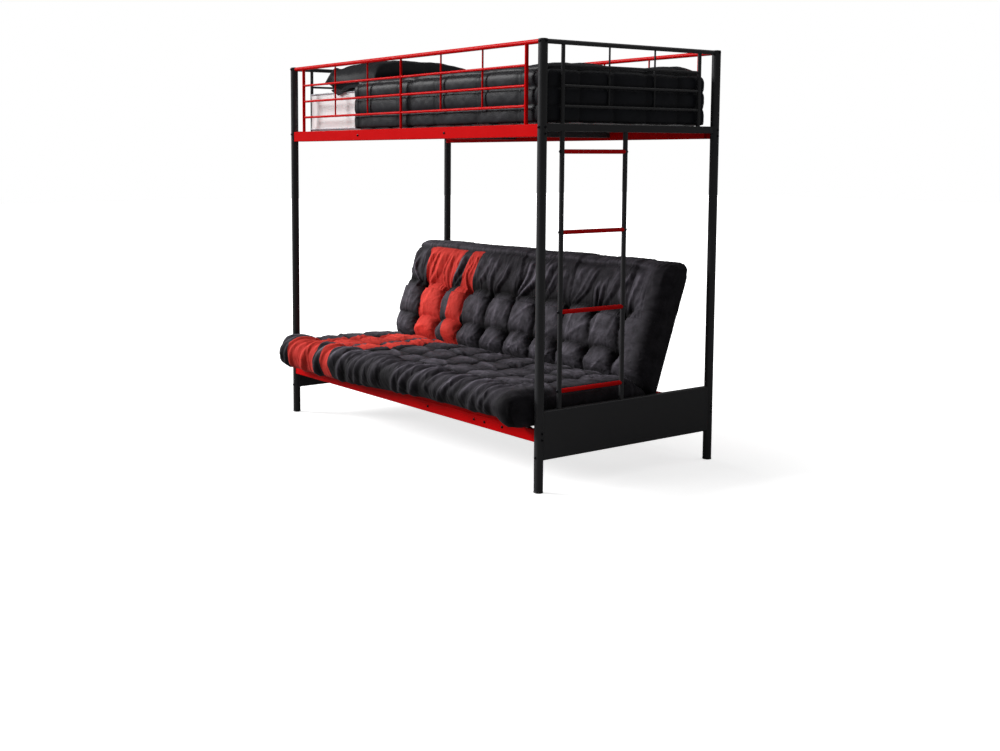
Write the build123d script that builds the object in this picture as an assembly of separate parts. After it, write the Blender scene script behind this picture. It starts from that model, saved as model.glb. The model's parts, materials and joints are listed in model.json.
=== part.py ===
from build123d import *
import math
import os

# Futon bunk bed: a high single bed on four round posts, over a futon sofa that
# slides forward and folds flat. X runs along the bed, -Y is the front, +Z is up.
# The ladder is on the +X end. All sizes are in millimetres.

os.makedirs("parts", exist_ok=True)

# Overall sizes of the steel frame
bed_length = 1978.0
bed_depth = 1028.0
bed_height = 1800.0

# Round posts with a plastic foot and cap, each held by an eight-sided plug
post_d = 38.0
post_wall = 1.5
foot_height = 6.0
cap_height = 4.0
plug_depth = 22.0
plug_clearance = 0.3
plug_sides = 8
cap_sides = 24

# Clearance where a tube is notched to fit round another
cope_gap = 0.2
# Clearance between a soft or loose piece and what carries it
rest_gap = 0.3
# Overrun of every cutting tool
overrun = 5.0

# Long box rails
rail_width = 25.0
rail_height = 50.0
rail_wall = 1.5
rail_bevel = 2.0
guard_height = 330.0
lower_rail_bottom = 205.0

# Slatted base of the upper bunk
base_side_width = 20.0
base_side_height = 37.0
base_end_gap = 11.0
cross_support_size = 25.0
cross_support_x = 345.0
slat_width = 50.0
slat_thickness = 12.0
slat_wall = 1.0
slat_count = 13
slat_end_margin = 40.0
slat_end_gap = 2.0

# Guard rails and end frames
guard_tube_d = 19.0
guard_tube_wall = 1.2
stile_d = 16.0
thick_rod_sides = 16
bar_d = 11.0
upright_d = 11.0
picket_d = 8.0
thin_rod_sides = 12
bar_height_shares = (0.225, 0.475, 0.725)
guard_stile_from_post = 97.0
guard_bays = 6
end_stile_from_post = 105.0
end_bays = 3
end_rail_width = 20.0
end_rail_height = 30.0
end_rail_rise = 23.0

# Ladder
ladder_rail_d = 20.0
ladder_wall = 1.2
ladder_width = 347.0
rung_d = 18.0
first_rung_height = 402.0
last_rung_drop = 79.5
rung_count = 4

# Lower end panels
panel_thickness = 25.0
panel_bottom = 132.0
panel_top = 330.0

# Six-sided bolt heads
bolt_head_d = 12.0
bolt_head_height = 3.5
head_sides = 6
rail_bolt_share = 0.26
panel_bolt_rise = 13.0
lower_rail_bolt_shares = (0.237, 0.583, 0.656, 0.777)

# Futon frame: seat and back of square tube, hinged together
futon_tube = 25.0
futon_wall = 1.5
seat_side_from_pad_end = 45.0
hinge_from_rear_post = 310.0
seat_front_overhang = 10.0
tube_from_hinge = 45.0
sofa_angle = 70.0
slide_travel = 310.0
futon_slat_width = 45.0
futon_slat_thickness = 10.0
futon_slat_wall = 1.0
futon_slat_count = 9
futon_slat_margin = 102.5

# Hinge plates, pins and rollers
plate_thickness = 4.0
plate_gap = 0.5
plate_half_width = 12.0
plate_corner = 7.0
plate_reach = 110.0
pin_d = 10.0
pin_clearance = 0.05
pin_head_d = 18.0
pin_head_height = 4.0
roller_width = 12.0
seat_roller_d = 30.0
roller_play = 0.5
back_roller_d = 18.0
seat_roller_from_hinge = 125.0
back_roller_arm = 44.0
axle_sides = 12
roller_sides = 24

# Sliding tracks on the end panels and nylon skids on the lower rails
track_wall = 2.0
track_depth = 17.5
track_end_margin = 10.0
skid_thickness = 3.0
skid_length = 40.0

# Futon mattress, in a seat half and a back half, with rows and columns of tufts
pad_end_gap = 17.5
pad_thickness = 125.0
seat_pad_overhang = 97.5
back_pad_overhang = 12.0
pad_edge_bulge = 17.0
pad_shoulder_share = 0.86
pad_bulge_height_share = 0.45
pad_cut_gap = 0.5
pad_columns = 10
puff_rise = 17.0
row_dip = 16.0
column_half_width = 34.0
column_dip = 24.0
pad_end_width = 46.0
pad_end_dip = 62.0
seat_row_shares = (0.36, 0.56, 0.76)
back_row_shares = (0.40, 0.62)

# Mattress of the upper bunk
mattress_end_gap = 20.0
mattress_side_gap = 32.5
mattress_height = 200.0
mattress_corner_r = 70.0
mattress_edge = 14.0
mattress_waist = 5.0

# Quilted cover of the upper bunk
cover_start_share = 0.459
cover_clearance = 0.5
cover_thickness = 54.0
cover_crown = 9.0
cover_hem_above_rail = 4.0
cover_shoulder = 30.0
cover_column_count = 7
cover_row_shares = (0.33, 0.64)
cover_groove_half_width = 26.0
cover_groove_dip = 12.0
cover_foot_round_share = 0.8

# Pillow
pillow_width = 640.0
pillow_height = 165.0
pillow_seam_height = 48.0
pillow_pull = 34.0
pillow_under_inset = 70.0
pillow_end_gap = 8.0
pillow_head_gap = 3.0

# Places of the steel frame, worked out from the sizes above
post_x = (bed_length - post_d) / 2
post_y = (bed_depth - post_d) / 2
guard_z = bed_height - guard_tube_d / 2
upper_rail_top = bed_height - guard_height
upper_rail_bottom = upper_rail_top - rail_height
lower_rail_top = lower_rail_bottom + rail_height
rail_inner_y = post_y - rail_width / 2
base_side_y = rail_inner_y - base_side_width / 2
base_side_length = 2 * (post_x - post_d / 2 - base_end_gap)
base_top = upper_rail_bottom + base_side_height
slat_span = base_side_length - 2 * slat_end_margin
slat_top = base_top + slat_thickness
bar_heights = [upper_rail_top + share * (guard_z - upper_rail_top) for share in bar_height_shares]
guard_stile_x = post_x - guard_stile_from_post
end_stile_y = post_y - end_stile_from_post
end_rail_bottom = upper_rail_bottom + end_rail_rise
end_rail_top = end_rail_bottom + end_rail_height
ladder_rail_places = (-end_stile_y, ladder_width - end_stile_y)
rung_pitch = (end_rail_bottom - last_rung_drop - first_rung_height) / (rung_count - 1)
rung_heights = [first_rung_height + rung_pitch * i for i in range(rung_count)]
panel_inner_x = post_x - panel_thickness / 2

# Places of the futon
tube_half = futon_tube / 2
pad_length = 2 * (panel_inner_x - pad_end_gap)
seat_side_x = pad_length / 2 - seat_side_from_pad_end
hinge_y = post_y - hinge_from_rear_post
seat_front_y = -(post_y + seat_front_overhang)
futon_z = lower_rail_top + skid_thickness + rest_gap + tube_half
back_side_x = seat_side_x + plate_thickness + plate_gap
back_top_from_hinge = rail_inner_y - hinge_y + slide_travel
seat_pad_depth = hinge_y - seat_front_y + tube_half + seat_pad_overhang
back_pad_depth = back_top_from_hinge + tube_half + back_pad_overhang
futon_slat_span = 2 * (seat_side_x - tube_half - futon_slat_margin)

# Places of the bedding, which fills the bunk up to the pickets inside the guard bars
mattress_length = 2 * (post_x - end_rail_width / 2 - mattress_end_gap)
mattress_width = 2 * (rail_inner_y - mattress_side_gap)
mattress_bottom = slat_top + rest_gap
mattress_top = mattress_bottom + mattress_height
picket_reach = bar_d / 2 + picket_d
cover_start_x = -cover_start_share * mattress_length / 2
cover_side = post_y - picket_reach - cover_clearance - mattress_width / 2 - rest_gap
cover_foot = post_x - picket_reach - cover_clearance - mattress_length / 2 - rest_gap
pillow_length = mattress_length / 2 + cover_start_x - pillow_end_gap - pillow_head_gap

pieces = {}


def add(name, *solids):
    """Keep the solids of one named piece."""
    pieces.setdefault(name, []).extend(solids)


def rod(start, end, diameter):
    """A round bar from one point to another."""
    start, end = Vector(*start), Vector(*end)
    along = end - start
    place = Plane(origin=start, z_dir=along)
    low = (Align.CENTER, Align.CENTER, Align.MIN)
    return place * Cylinder(diameter / 2, along.length, align=low)


def tube(start, end, diameter, wall):
    """A round tube from one point to another, open at both ends."""
    return rod(start, end, diameter) - rod(start, end, diameter - 2 * wall)


def prism(start, end, diameter, sides):
    """A straight bar with flat sides, measured across its corners."""
    start, end = Vector(*start), Vector(*end)
    along = end - start
    return extrude(Plane(origin=start, z_dir=along) * RegularPolygon(diameter / 2, sides), along.length)


def box_tube(plane, width, height, length, wall, bevel):
    """A box section with bevelled edges, centred on a plane and drawn along its normal."""
    outer = chamfer(Rectangle(width, height).vertices(), bevel)
    inner = Rectangle(width - 2 * wall, height - 2 * wall)
    return extrude(plane * (outer - inner), length / 2, both=True)


def flat_tube(plane, width, thickness, length, wall):
    """A flat hollow slat, centred on a plane and drawn along its normal."""
    section = Rectangle(width, thickness) - Rectangle(width - 2 * wall, thickness - 2 * wall)
    return extrude(plane * section, length / 2, both=True)


def corner_signs():
    """The four corners of the bed as pairs of signs."""
    return [(sx, sy) for sx in (-1, 1) for sy in (-1, 1)]


def post_core(sx, sy, grow):
    """A post's outline as a solid bar, used to notch what meets it."""
    x, y = sx * post_x, sy * post_y
    return rod((x, y, -overrun), (x, y, bed_height + overrun), post_d + 2 * grow)


def cope_to_posts(solid, corners):
    """Notch the ends of a rail so that it fits against the posts at these corners."""
    for sx, sy in corners:
        solid = solid - post_core(sx, sy, cope_gap)
    return solid


# Posts, feet and caps
plug_d = post_d - 2 * post_wall - 2 * plug_clearance
cap_base = bed_height - cap_height
for sx, sy in corner_signs():
    side = "left" if sx < 0 else "right"
    depth = "front" if sy < 0 else "rear"
    x, y = sx * post_x, sy * post_y
    add(f"post_{depth}_{side}", tube((x, y, foot_height), (x, y, cap_base), post_d, post_wall))
    foot = rod((x, y, 0), (x, y, foot_height), post_d)
    foot += prism((x, y, foot_height), (x, y, foot_height + plug_depth), plug_d, plug_sides)
    add("post_feet", foot)
    cap = prism((x, y, cap_base), (x, y, bed_height), post_d, cap_sides)
    cap += prism((x, y, cap_base - plug_depth), (x, y, cap_base), plug_d, plug_sides)
    add("post_caps", cap)

# Long rails
along_x = Plane(origin=(0, 0, 0), x_dir=(0, 1, 0), z_dir=(1, 0, 0))
along_y = Plane(origin=(0, 0, 0), x_dir=(1, 0, 0), z_dir=(0, 1, 0))
for sy, depth in ((-1, "front"), (1, "rear")):
    for level, bottom in (("upper", upper_rail_bottom), ("lower", lower_rail_bottom)):
        rail = box_tube(along_x, rail_width, rail_height, 2 * post_x, rail_wall, rail_bevel)
        rail = Pos(0, sy * post_y, bottom + rail_height / 2) * rail
        add(f"{level}_rail_{depth}", cope_to_posts(rail, [(-1, sy), (1, sy)]))

# Slatted base of the upper bunk
for sy in (-1, 1):
    side_tube = box_tube(along_x, base_side_width, base_side_height, base_side_length, rail_wall, rail_bevel)
    add("base_side_tubes", Pos(0, sy * base_side_y, upper_rail_bottom + base_side_height / 2) * side_tube)
cross_length = 2 * (base_side_y - base_side_width / 2)
for sx in (-1, 1):
    support = box_tube(along_y, cross_support_size, cross_support_size, cross_length, rail_wall, rail_bevel)
    add("cross_supports", Pos(sx * cross_support_x, 0, base_top - cross_support_size / 2) * support)
slat_length = 2 * (rail_inner_y - slat_end_gap)
for i in range(slat_count):
    x = -slat_span / 2 + slat_span * i / (slat_count - 1)
    slat = flat_tube(along_y, slat_width, slat_thickness, slat_length, slat_wall)
    add("upper_slats", Pos(x, 0, base_top + slat_thickness / 2) * slat)


def grille(prefix, place, corners, post_s, stile_s, rail_z, bays, centre_upright):
    """One guard between two posts: top tube, stiles, bars, pickets and perhaps a centre upright.

    place turns a distance along the guard, a height and an inward offset into a point.
    """
    top = tube(place(-post_s, guard_z), place(post_s, guard_z), guard_tube_d, guard_tube_wall)
    add(f"{prefix}_top", cope_to_posts(top, corners))
    top_core = rod(place(-post_s, guard_z), place(post_s, guard_z), guard_tube_d + 2 * cope_gap)
    for s in (-stile_s, stile_s):
        stile = prism(place(s, rail_z), place(s, guard_z), stile_d, thick_rod_sides)
        add(f"{prefix}_stiles", stile - top_core)

    # The bars butt against the stiles and the centre upright
    stops = [(-stile_s, stile_d), (stile_s, stile_d)]
    if centre_upright:
        stops.insert(1, (0.0, upright_d))
        upright_top = guard_z - guard_tube_d / 2 - cope_gap
        upright = prism(place(0.0, rail_z), place(0.0, upright_top), upright_d, thin_rod_sides)
        add(f"{prefix}_pickets", upright)
    for z in bar_heights:
        for (s0, d0), (s1, d1) in zip(stops, stops[1:]):
            start, end = s0 + d0 / 2 + cope_gap, s1 - d1 / 2 - cope_gap
            add(f"{prefix}_bars", prism(place(start, z), place(end, z), bar_d, thin_rod_sides))

    # The pickets lie against the inner side of the bars and end under the top tube
    inward = (bar_d + picket_d) / 2
    picket_foot = bar_heights[0] - bar_d / 2
    picket_top = guard_z - math.sqrt((guard_tube_d / 2) ** 2 - (bar_d / 2) ** 2) - cope_gap
    for i in range(1, bays):
        if centre_upright and 2 * i == bays:
            continue
        s = -stile_s + 2 * stile_s * i / bays
        foot, head = place(s, picket_foot, inward), place(s, picket_top, inward)
        add(f"{prefix}_pickets", prism(foot, head, picket_d, thin_rod_sides))


# Guards along the front and rear of the upper bunk
for sy, depth in ((-1, "front"), (1, "rear")):
    grille(
        f"guard_{depth}",
        lambda s, z, inward=0.0, sy=sy: (s, sy * (post_y - inward), z),
        [(-1, sy), (1, sy)],
        post_x,
        guard_stile_x,
        upper_rail_top,
        guard_bays,
        True,
    )

# End frames of the upper bunk
for sx, side in ((-1, "left"), (1, "right")):
    lower = box_tube(along_y, end_rail_width, end_rail_height, 2 * post_y, rail_wall, rail_bevel)
    lower = Pos(sx * post_x, 0, end_rail_bottom + end_rail_height / 2) * lower
    add(f"end_{side}_rail", cope_to_posts(lower, [(sx, -1), (sx, 1)]))
    grille(
        f"end_{side}",
        lambda s, z, inward=0.0, sx=sx: (sx * (post_x - inward), s, z),
        [(sx, -1), (sx, 1)],
        post_y,
        end_stile_y,
        end_rail_top,
        end_bays,
        False,
    )

# Lower end panels
panel_height = panel_top - panel_bottom
for sx, side in ((-1, "left"), (1, "right")):
    panel = box_tube(along_y, panel_thickness, panel_height, 2 * post_y, rail_wall, rail_bevel)
    panel = Pos(sx * post_x, 0, (panel_top + panel_bottom) / 2) * panel
    add(f"lower_panel_{side}", cope_to_posts(panel, [(sx, -1), (sx, 1)]))

# Ladder on the right end, in line with the front stile of the end frame
ladder_cores = []
for y in ladder_rail_places:
    foot, head = (post_x, y, panel_top), (post_x, y, end_rail_bottom)
    add("ladder_rails", tube(foot, head, ladder_rail_d, ladder_wall))
    ladder_cores.append(rod(foot, head, ladder_rail_d + 2 * cope_gap))
for z in rung_heights:
    start, end = (post_x, ladder_rail_places[0], z), (post_x, ladder_rail_places[1], z)
    rung = prism(start, end, rung_d, thick_rod_sides)
    for core in ladder_cores:
        rung = rung - core
    add("ladder_rungs", rung)


def bolt_head(start, direction):
    """A low bolt head that stands on the point where the tube under it is nearest."""
    start, direction = Vector(*start), Vector(*direction)
    return prism(start, start + direction * bolt_head_height, bolt_head_d, head_sides)


for y, outward in zip(ladder_rail_places, (-1, 1)):
    for z in rung_heights:
        start = (post_x, y + outward * (ladder_rail_d / 2 + cope_gap), z)
        add("ladder_bolts", bolt_head(start, (0, outward, 0)))

# Bolts through the posts, and on the faces of the long rails
rail_bolt_levels = [guard_z]
for bottom in (upper_rail_bottom, lower_rail_bottom):
    for share in (-rail_bolt_share, rail_bolt_share):
        rail_bolt_levels.append(bottom + rail_height * (1 / 2 + share))
end_bolt_levels = [guard_z, end_rail_bottom + end_rail_height / 2, panel_bottom + panel_bolt_rise]
head_from_post = post_d / 2 + cope_gap
for sx, sy in corner_signs():
    for z in rail_bolt_levels:
        add("post_bolts", bolt_head((sx * (post_x + head_from_post), sy * post_y, z), (sx, 0, 0)))
    for z in end_bolt_levels:
        add("post_bolts", bolt_head((sx * post_x, sy * (post_y + head_from_post), z), (0, sy, 0)))
    support_z = base_top - cross_support_size / 2
    start = (sx * cross_support_x, sy * (post_y + rail_width / 2), support_z)
    add("rail_bolts", bolt_head(start, (0, sy, 0)))
for share in lower_rail_bolt_shares:
    start = (share * post_x, -(post_y + rail_width / 2), lower_rail_bottom + rail_height / 2)
    add("rail_bolts", bolt_head(start, (0, -1, 0)))

# Tracks in which the futon's rollers run, and skids on which its frame slides.
# The back's roller is level at both ends of the travel and dips between them.
half_turn = math.radians(sofa_angle / 2)
roller_y = -back_roller_arm * math.sin(half_turn)
roller_z = -back_roller_arm * math.cos(half_turn)
track_centre_height = futon_z + (roller_z - back_roller_arm) / 2
track_front_y = hinge_y - seat_roller_from_hinge - slide_travel - seat_roller_d / 2 - track_end_margin
track_rear_y = hinge_y - roller_y + back_roller_d / 2 + track_end_margin
track_length = track_rear_y - track_front_y
track_clear_height = seat_roller_d + 2 * roller_play
track_height = track_clear_height + 2 * track_wall
for sx in (-1, 1):
    section = Rectangle(track_depth, track_height)
    section -= Pos(track_wall, 0) * Rectangle(track_depth, track_clear_height)
    track = extrude(along_y * section, track_length / 2, both=True)
    track = Rot(0, 0, 180) * track if sx > 0 else track
    x = sx * (panel_inner_x - track_depth / 2)
    add("slide_tracks", Pos(x, (track_front_y + track_rear_y) / 2, track_centre_height) * track)
skid_width = rail_width - 2 * rail_bevel
for sy, x_place in ((-1, seat_side_x), (1, back_side_x)):
    for sx in (-1, 1):
        skid = Box(skid_length, skid_width, skid_thickness)
        add("rail_skids", Pos(sx * x_place, sy * post_y, lower_rail_top + skid_thickness / 2) * skid)


def futon_bar(plane, length):
    """A length of the futon's square tube."""
    return box_tube(plane, futon_tube, futon_tube, length, futon_wall, rail_bevel)


def futon_slat_places():
    """Where the futon's slats lie along the bed."""
    return [futon_slat_span * (i / (futon_slat_count - 1) - 1 / 2) for i in range(futon_slat_count)]


def futon_slat(length):
    """A flat hollow slat of the futon, drawn along its length."""
    return flat_tube(along_y, futon_slat_width, futon_slat_thickness, length, futon_slat_wall)


# Seat frame of the futon, which slides forward
seat_rear_y = hinge_y - tube_from_hinge
seat_side_front = seat_front_y + tube_half
seat_side_rear = seat_rear_y + tube_half
front_tube = futon_bar(along_x, 2 * (seat_side_x + tube_half))
add("seat_front_tube", Pos(0, seat_front_y, futon_z) * front_tube)
rear_tube = futon_bar(along_x, 2 * (seat_side_x - tube_half))
add("seat_rear_tube", Pos(0, seat_rear_y, futon_z) * rear_tube)
for sx in (-1, 1):
    side_tube = futon_bar(along_y, seat_side_rear - seat_side_front)
    add("seat_side_tubes", Pos(sx * seat_side_x, (seat_side_rear + seat_side_front) / 2, futon_z) * side_tube)
slat_z = futon_z + tube_half - futon_slat_thickness / 2
seat_slat_rear = seat_rear_y - tube_half
for x in futon_slat_places():
    slat = futon_slat(seat_slat_rear - seat_side_front)
    add("seat_slats", Pos(x, (seat_slat_rear + seat_side_front) / 2, slat_z) * slat)


def plate(points, holes):
    """A flat plate in the YZ plane, of arms with cut corners from point to point, with round holes."""
    face = None
    for (y0, z0), (y1, z1) in zip(points, points[1:]):
        length = math.hypot(y1 - y0, z1 - z0)
        turn = math.degrees(math.atan2(z1 - z0, y1 - y0))
        arm = Rectangle(length + 2 * plate_half_width, 2 * plate_half_width)
        arm = chamfer(arm.vertices(), plate_corner)
        arm = Pos((y0 + y1) / 2, (z0 + z1) / 2) * Rot(0, 0, turn) * arm
        face = arm if face is None else face + arm
    for y, z in holes:
        face = face - Pos(y, z) * Circle(pin_d / 2 + pin_clearance)
    return extrude(along_x * face, plate_thickness / 2, both=True)


# Hinge plates of the seat, their pins, and the seat's rollers
seat_plate_x = seat_side_x + tube_half + plate_thickness / 2
back_plate_x = seat_plate_x + plate_thickness + plate_gap
roller_drop = futon_z - track_centre_height
roller_outer_x = panel_inner_x - track_wall - rest_gap
roller_inner_x = roller_outer_x - roller_width
for sx in (-1, 1):
    arms = [(0, 0), (-seat_roller_from_hinge, 0), (-seat_roller_from_hinge, -roller_drop)]
    holes = [(0, 0), (-seat_roller_from_hinge, -roller_drop)]
    add("seat_hinge_plates", Pos(sx * seat_plate_x, hinge_y, futon_z) * plate(arms, holes))
    inner = sx * (seat_plate_x - plate_thickness / 2)
    outer = sx * (back_plate_x + plate_thickness / 2 + rest_gap)
    head = sx * pin_head_height
    pin = rod((inner, hinge_y, futon_z), (outer, hinge_y, futon_z), pin_d)
    pin += prism((inner - head, hinge_y, futon_z), (inner, hinge_y, futon_z), pin_head_d, head_sides)
    pin += prism((outer, hinge_y, futon_z), (outer + head, hinge_y, futon_z), pin_head_d, head_sides)
    add("hinge_pins", pin)
    y, z = hinge_y - seat_roller_from_hinge, track_centre_height
    axle = prism((inner, y, z), (sx * roller_inner_x, y, z), pin_d, axle_sides)
    axle += prism((inner - head, y, z), (inner, y, z), pin_head_d, head_sides)
    roller = prism((sx * roller_inner_x, y, z), (sx * roller_outer_x, y, z), seat_roller_d, roller_sides)
    add("seat_rollers", axle + roller)

# Back frame of the futon, drawn flat behind the hinge and then tipped up to its sofa place.
# When flat, its top tube lies on the rear rail.
back_side_start = hinge_y + tube_from_hinge - tube_half
back_side_end = hinge_y + back_top_from_hinge + tube_half
back = {}
for name, reach in (("back_bottom_tube", tube_from_hinge), ("back_top_tube", back_top_from_hinge)):
    bar = futon_bar(along_x, 2 * (back_side_x - tube_half))
    back[name] = [Pos(0, hinge_y + reach, futon_z) * bar]
back["back_side_tubes"] = []
back["back_hinge_plates"] = []
back["back_rollers"] = []
for sx in (-1, 1):
    side_tube = futon_bar(along_y, back_side_end - back_side_start)
    side_tube = Pos(sx * back_side_x, (back_side_end + back_side_start) / 2, futon_z) * side_tube
    back["back_side_tubes"].append(side_tube)
    arms = [(plate_reach, 0), (0, 0), (roller_y, roller_z)]
    holes = [(0, 0), (roller_y, roller_z)]
    back["back_hinge_plates"].append(Pos(sx * back_plate_x, hinge_y, futon_z) * plate(arms, holes))
    y, z = hinge_y + roller_y, futon_z + roller_z
    start = sx * (back_plate_x - plate_thickness / 2)
    nut = sx * (back_plate_x + plate_thickness / 2)
    axle = prism((start, y, z), (sx * roller_inner_x, y, z), pin_d, axle_sides)
    axle += prism((nut, y, z), (nut + sx * pin_head_height, y, z), pin_head_d, head_sides)
    roller = prism((sx * roller_inner_x, y, z), (sx * roller_outer_x, y, z), back_roller_d, roller_sides)
    back["back_rollers"].append(axle + roller)
back["back_slats"] = []
slat_start = hinge_y + tube_from_hinge + tube_half
slat_end = hinge_y + back_top_from_hinge - tube_half
for x in futon_slat_places():
    slat = futon_slat(slat_end - slat_start)
    back["back_slats"].append(Pos(x, (slat_start + slat_end) / 2, slat_z) * slat)


def notch(half_width, dip, reach, length):
    """A V-shaped cutter that runs along Y, with its mouth upwards at the origin."""
    outline = Polyline(
        (0, -dip), (half_width, 0), (half_width, reach), (-half_width, reach), (-half_width, 0), close=True
    )
    return extrude(Plane.XZ * make_face(outline), length / 2, both=True)


def futon_pad(depth, row_shares, direction):
    """Half of the tufted futon mattress, from the cut at the hinge to the rounded free edge.

    The rows of puffs are the arcs of its profile, and the columns are notched across them.
    """
    low = tube_half + rest_gap
    high = low + pad_thickness
    slope = math.tan(math.radians((180 - sofa_angle) / 2))
    start_low = low / slope + pad_cut_gap
    start_high = high / slope + pad_cut_gap
    edge = depth - pad_edge_bulge
    shoulder = low + pad_thickness * pad_shoulder_share
    knots = [(start_high, high)]
    knots += [(share * depth, high - row_dip) for share in row_shares]
    knots += [(edge, shoulder)]
    edges = [Line((start_low, low), knots[0])]
    for (v0, w0), (v1, w1) in zip(knots, knots[1:]):
        middle = ((v0 + v1) / 2, (w0 + w1) / 2 + puff_rise)
        edges.append(ThreePointArc((v0, w0), middle, (v1, w1)))
    bulge = (depth, low + pad_thickness * pad_bulge_height_share)
    edges.append(ThreePointArc((edge, shoulder), bulge, (edge, low)))
    edges.append(Line((edge, low), (start_low, low)))
    place = Plane(origin=(0, hinge_y, futon_z), x_dir=(0, direction, 0), z_dir=(direction, 0, 0))
    pad = extrude(place * make_face(edges), pad_length / 2, both=True)

    column = notch(column_half_width, column_dip, pad_thickness, 2 * (depth + overrun))
    end = notch(pad_end_width, pad_end_dip, pad_thickness, 2 * (depth + overrun))
    for i in range(pad_columns + 1):
        x = pad_length * (i / pad_columns - 1 / 2)
        cutter = end if i in (0, pad_columns) else column
        pad = pad - Pos(x, hinge_y, futon_z + high) * cutter
    return pad


add("seat_pad", futon_pad(seat_pad_depth, seat_row_shares, -1))
back["back_pad"] = [futon_pad(back_pad_depth, back_row_shares, 1)]

hinge_axis = Axis((0, hinge_y, futon_z), (1, 0, 0))
for name, solids in back.items():
    add(name, *[solid.rotate(hinge_axis, sofa_angle) for solid in solids])


# Mattress of the upper bunk: rounded corners, soft edges and a slightly drawn-in waist
def mattress_section(z, inset):
    """The mattress's outline at one height, drawn in all round by an inset."""
    length, width = mattress_length - 2 * inset, mattress_width - 2 * inset
    return Pos(0, 0, z) * RectangleRounded(length, width, mattress_corner_r - inset)


mattress_levels = [
    (mattress_bottom, mattress_edge),
    (mattress_bottom + mattress_edge, 0.0),
    ((mattress_bottom + mattress_top) / 2, mattress_waist),
    (mattress_top - mattress_edge, 0.0),
    (mattress_top, mattress_edge),
]
add("upper_mattress", loft([mattress_section(z, inset) for z, inset in mattress_levels], ruled=True))


# Quilted cover: over the top, down both sides and over the foot of the mattress
cover_low = upper_rail_top + cover_hem_above_rail
cover_under = mattress_top + rest_gap
cover_high = cover_under + cover_thickness - cover_crown
cover_end_x = mattress_length / 2 + rest_gap
cover_length = cover_end_x - cover_start_x
side_y = mattress_width / 2 + rest_gap
outer_y = side_y + cover_side
shoulder_z = cover_high - cover_shoulder
ridge_y = outer_y - cover_shoulder
corner = cover_shoulder * (1 - math.sqrt(1 / 2))
cover_edges = [
    Line((side_y, cover_low), (outer_y, cover_low)),
    Line((outer_y, cover_low), (outer_y, shoulder_z)),
    ThreePointArc((outer_y, shoulder_z), (outer_y - corner, cover_high - corner), (ridge_y, cover_high)),
    ThreePointArc((ridge_y, cover_high), (0, cover_high + cover_crown), (-ridge_y, cover_high)),
    ThreePointArc((-ridge_y, cover_high), (corner - outer_y, cover_high - corner), (-outer_y, shoulder_z)),
    Line((-outer_y, shoulder_z), (-outer_y, cover_low)),
    Line((-outer_y, cover_low), (-side_y, cover_low)),
    Line((-side_y, cover_low), (-side_y, cover_under)),
    Line((-side_y, cover_under), (side_y, cover_under)),
    Line((side_y, cover_under), (side_y, cover_low)),
]
cover = Pos(cover_start_x, 0, 0) * extrude(along_x * make_face(cover_edges), cover_length)

# Notches for the seams: across the top, down both sides, and along the sides
side_height = cover_high - cover_low
seam_reach = 2 * (outer_y + overrun)
top_seam = notch(cover_groove_half_width, cover_groove_dip + cover_crown, cover_thickness, seam_reach)
side_seam = notch(cover_groove_half_width, cover_groove_dip, cover_thickness, 2 * side_height)
row_seam = Rot(0, 0, 90) * notch(cover_groove_half_width, cover_groove_dip, cover_thickness, 2 * bed_length)
for i in range(1, cover_column_count):
    x = cover_start_x + cover_length * i / cover_column_count
    cover = cover - Pos(x, 0, cover_high + cover_crown) * top_seam
    for sy in (-1, 1):
        cover = cover - Pos(x, sy * outer_y, cover_high) * Rot(-90 * sy, 0, 0) * side_seam
for share in cover_row_shares:
    for sy in (-1, 1):
        z = cover_low + side_height * share
        cover = cover - Pos(0, sy * outer_y, z) * Rot(-90 * sy, 0, 0) * row_seam

foot = Box(cover_foot, 2 * ridge_y, side_height, align=(Align.MIN, Align.CENTER, Align.MIN))
foot = Pos(cover_end_x, 0, cover_low) * foot
outer_face = foot.faces().sort_by(Axis.X)[-1]
outer_edges = outer_face.edges().filter_by(Axis.Z) + outer_face.edges().filter_by(Axis.Y).sort_by(Axis.Z)[-1:]
add("duvet", cover + fillet(outer_edges, cover_foot * cover_foot_round_share))


# Pillow: a plump square whose sides are pulled in between its corners
def pillow_arch(half, plane, length):
    """The pillow's outline from one side: a flat underside, a seam and a crown, drawn through it."""
    under = half - pillow_under_inset
    edges = [
        Line((-half, pillow_seam_height), (-under, 0)),
        Line((-under, 0), (under, 0)),
        Line((under, 0), (half, pillow_seam_height)),
        ThreePointArc((half, pillow_seam_height), (0, pillow_height), (-half, pillow_seam_height)),
    ]
    return extrude(plane * make_face(edges), length, both=True)


a, b = pillow_length / 2, pillow_width / 2
pillow_edges = [
    ThreePointArc((-a, -b), (0, pillow_pull - b), (a, -b)),
    ThreePointArc((a, -b), (a - pillow_pull, 0), (a, b)),
    ThreePointArc((a, b), (0, b - pillow_pull), (-a, b)),
    ThreePointArc((-a, b), (pillow_pull - a, 0), (-a, -b)),
]
pillow = extrude(make_face(pillow_edges), pillow_height)
pillow = pillow & pillow_arch(a, Plane.XZ, b) & pillow_arch(b, Plane.YZ, a)
pillow_x = cover_start_x - pillow_end_gap - a
add("pillow", Pos(pillow_x, 0, mattress_top + rest_gap) * pillow)

# The origin is under the middle of the whole bed, on the floor
bodies = [body for solids in pieces.values() for solid in solids for body in solid.solids()]
whole = Compound(bodies).bounding_box()
shift = Pos(-(whole.min.X + whole.max.X) / 2, -(whole.min.Y + whole.max.Y) / 2, -whole.min.Z)
print("shift", *(round(value, 3) for value in shift.position))
print("size", *(round(value, 2) for value in whole.size))
print("hinge", round(hinge_y + shift.position.Y, 3), round(futon_z, 3))

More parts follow.
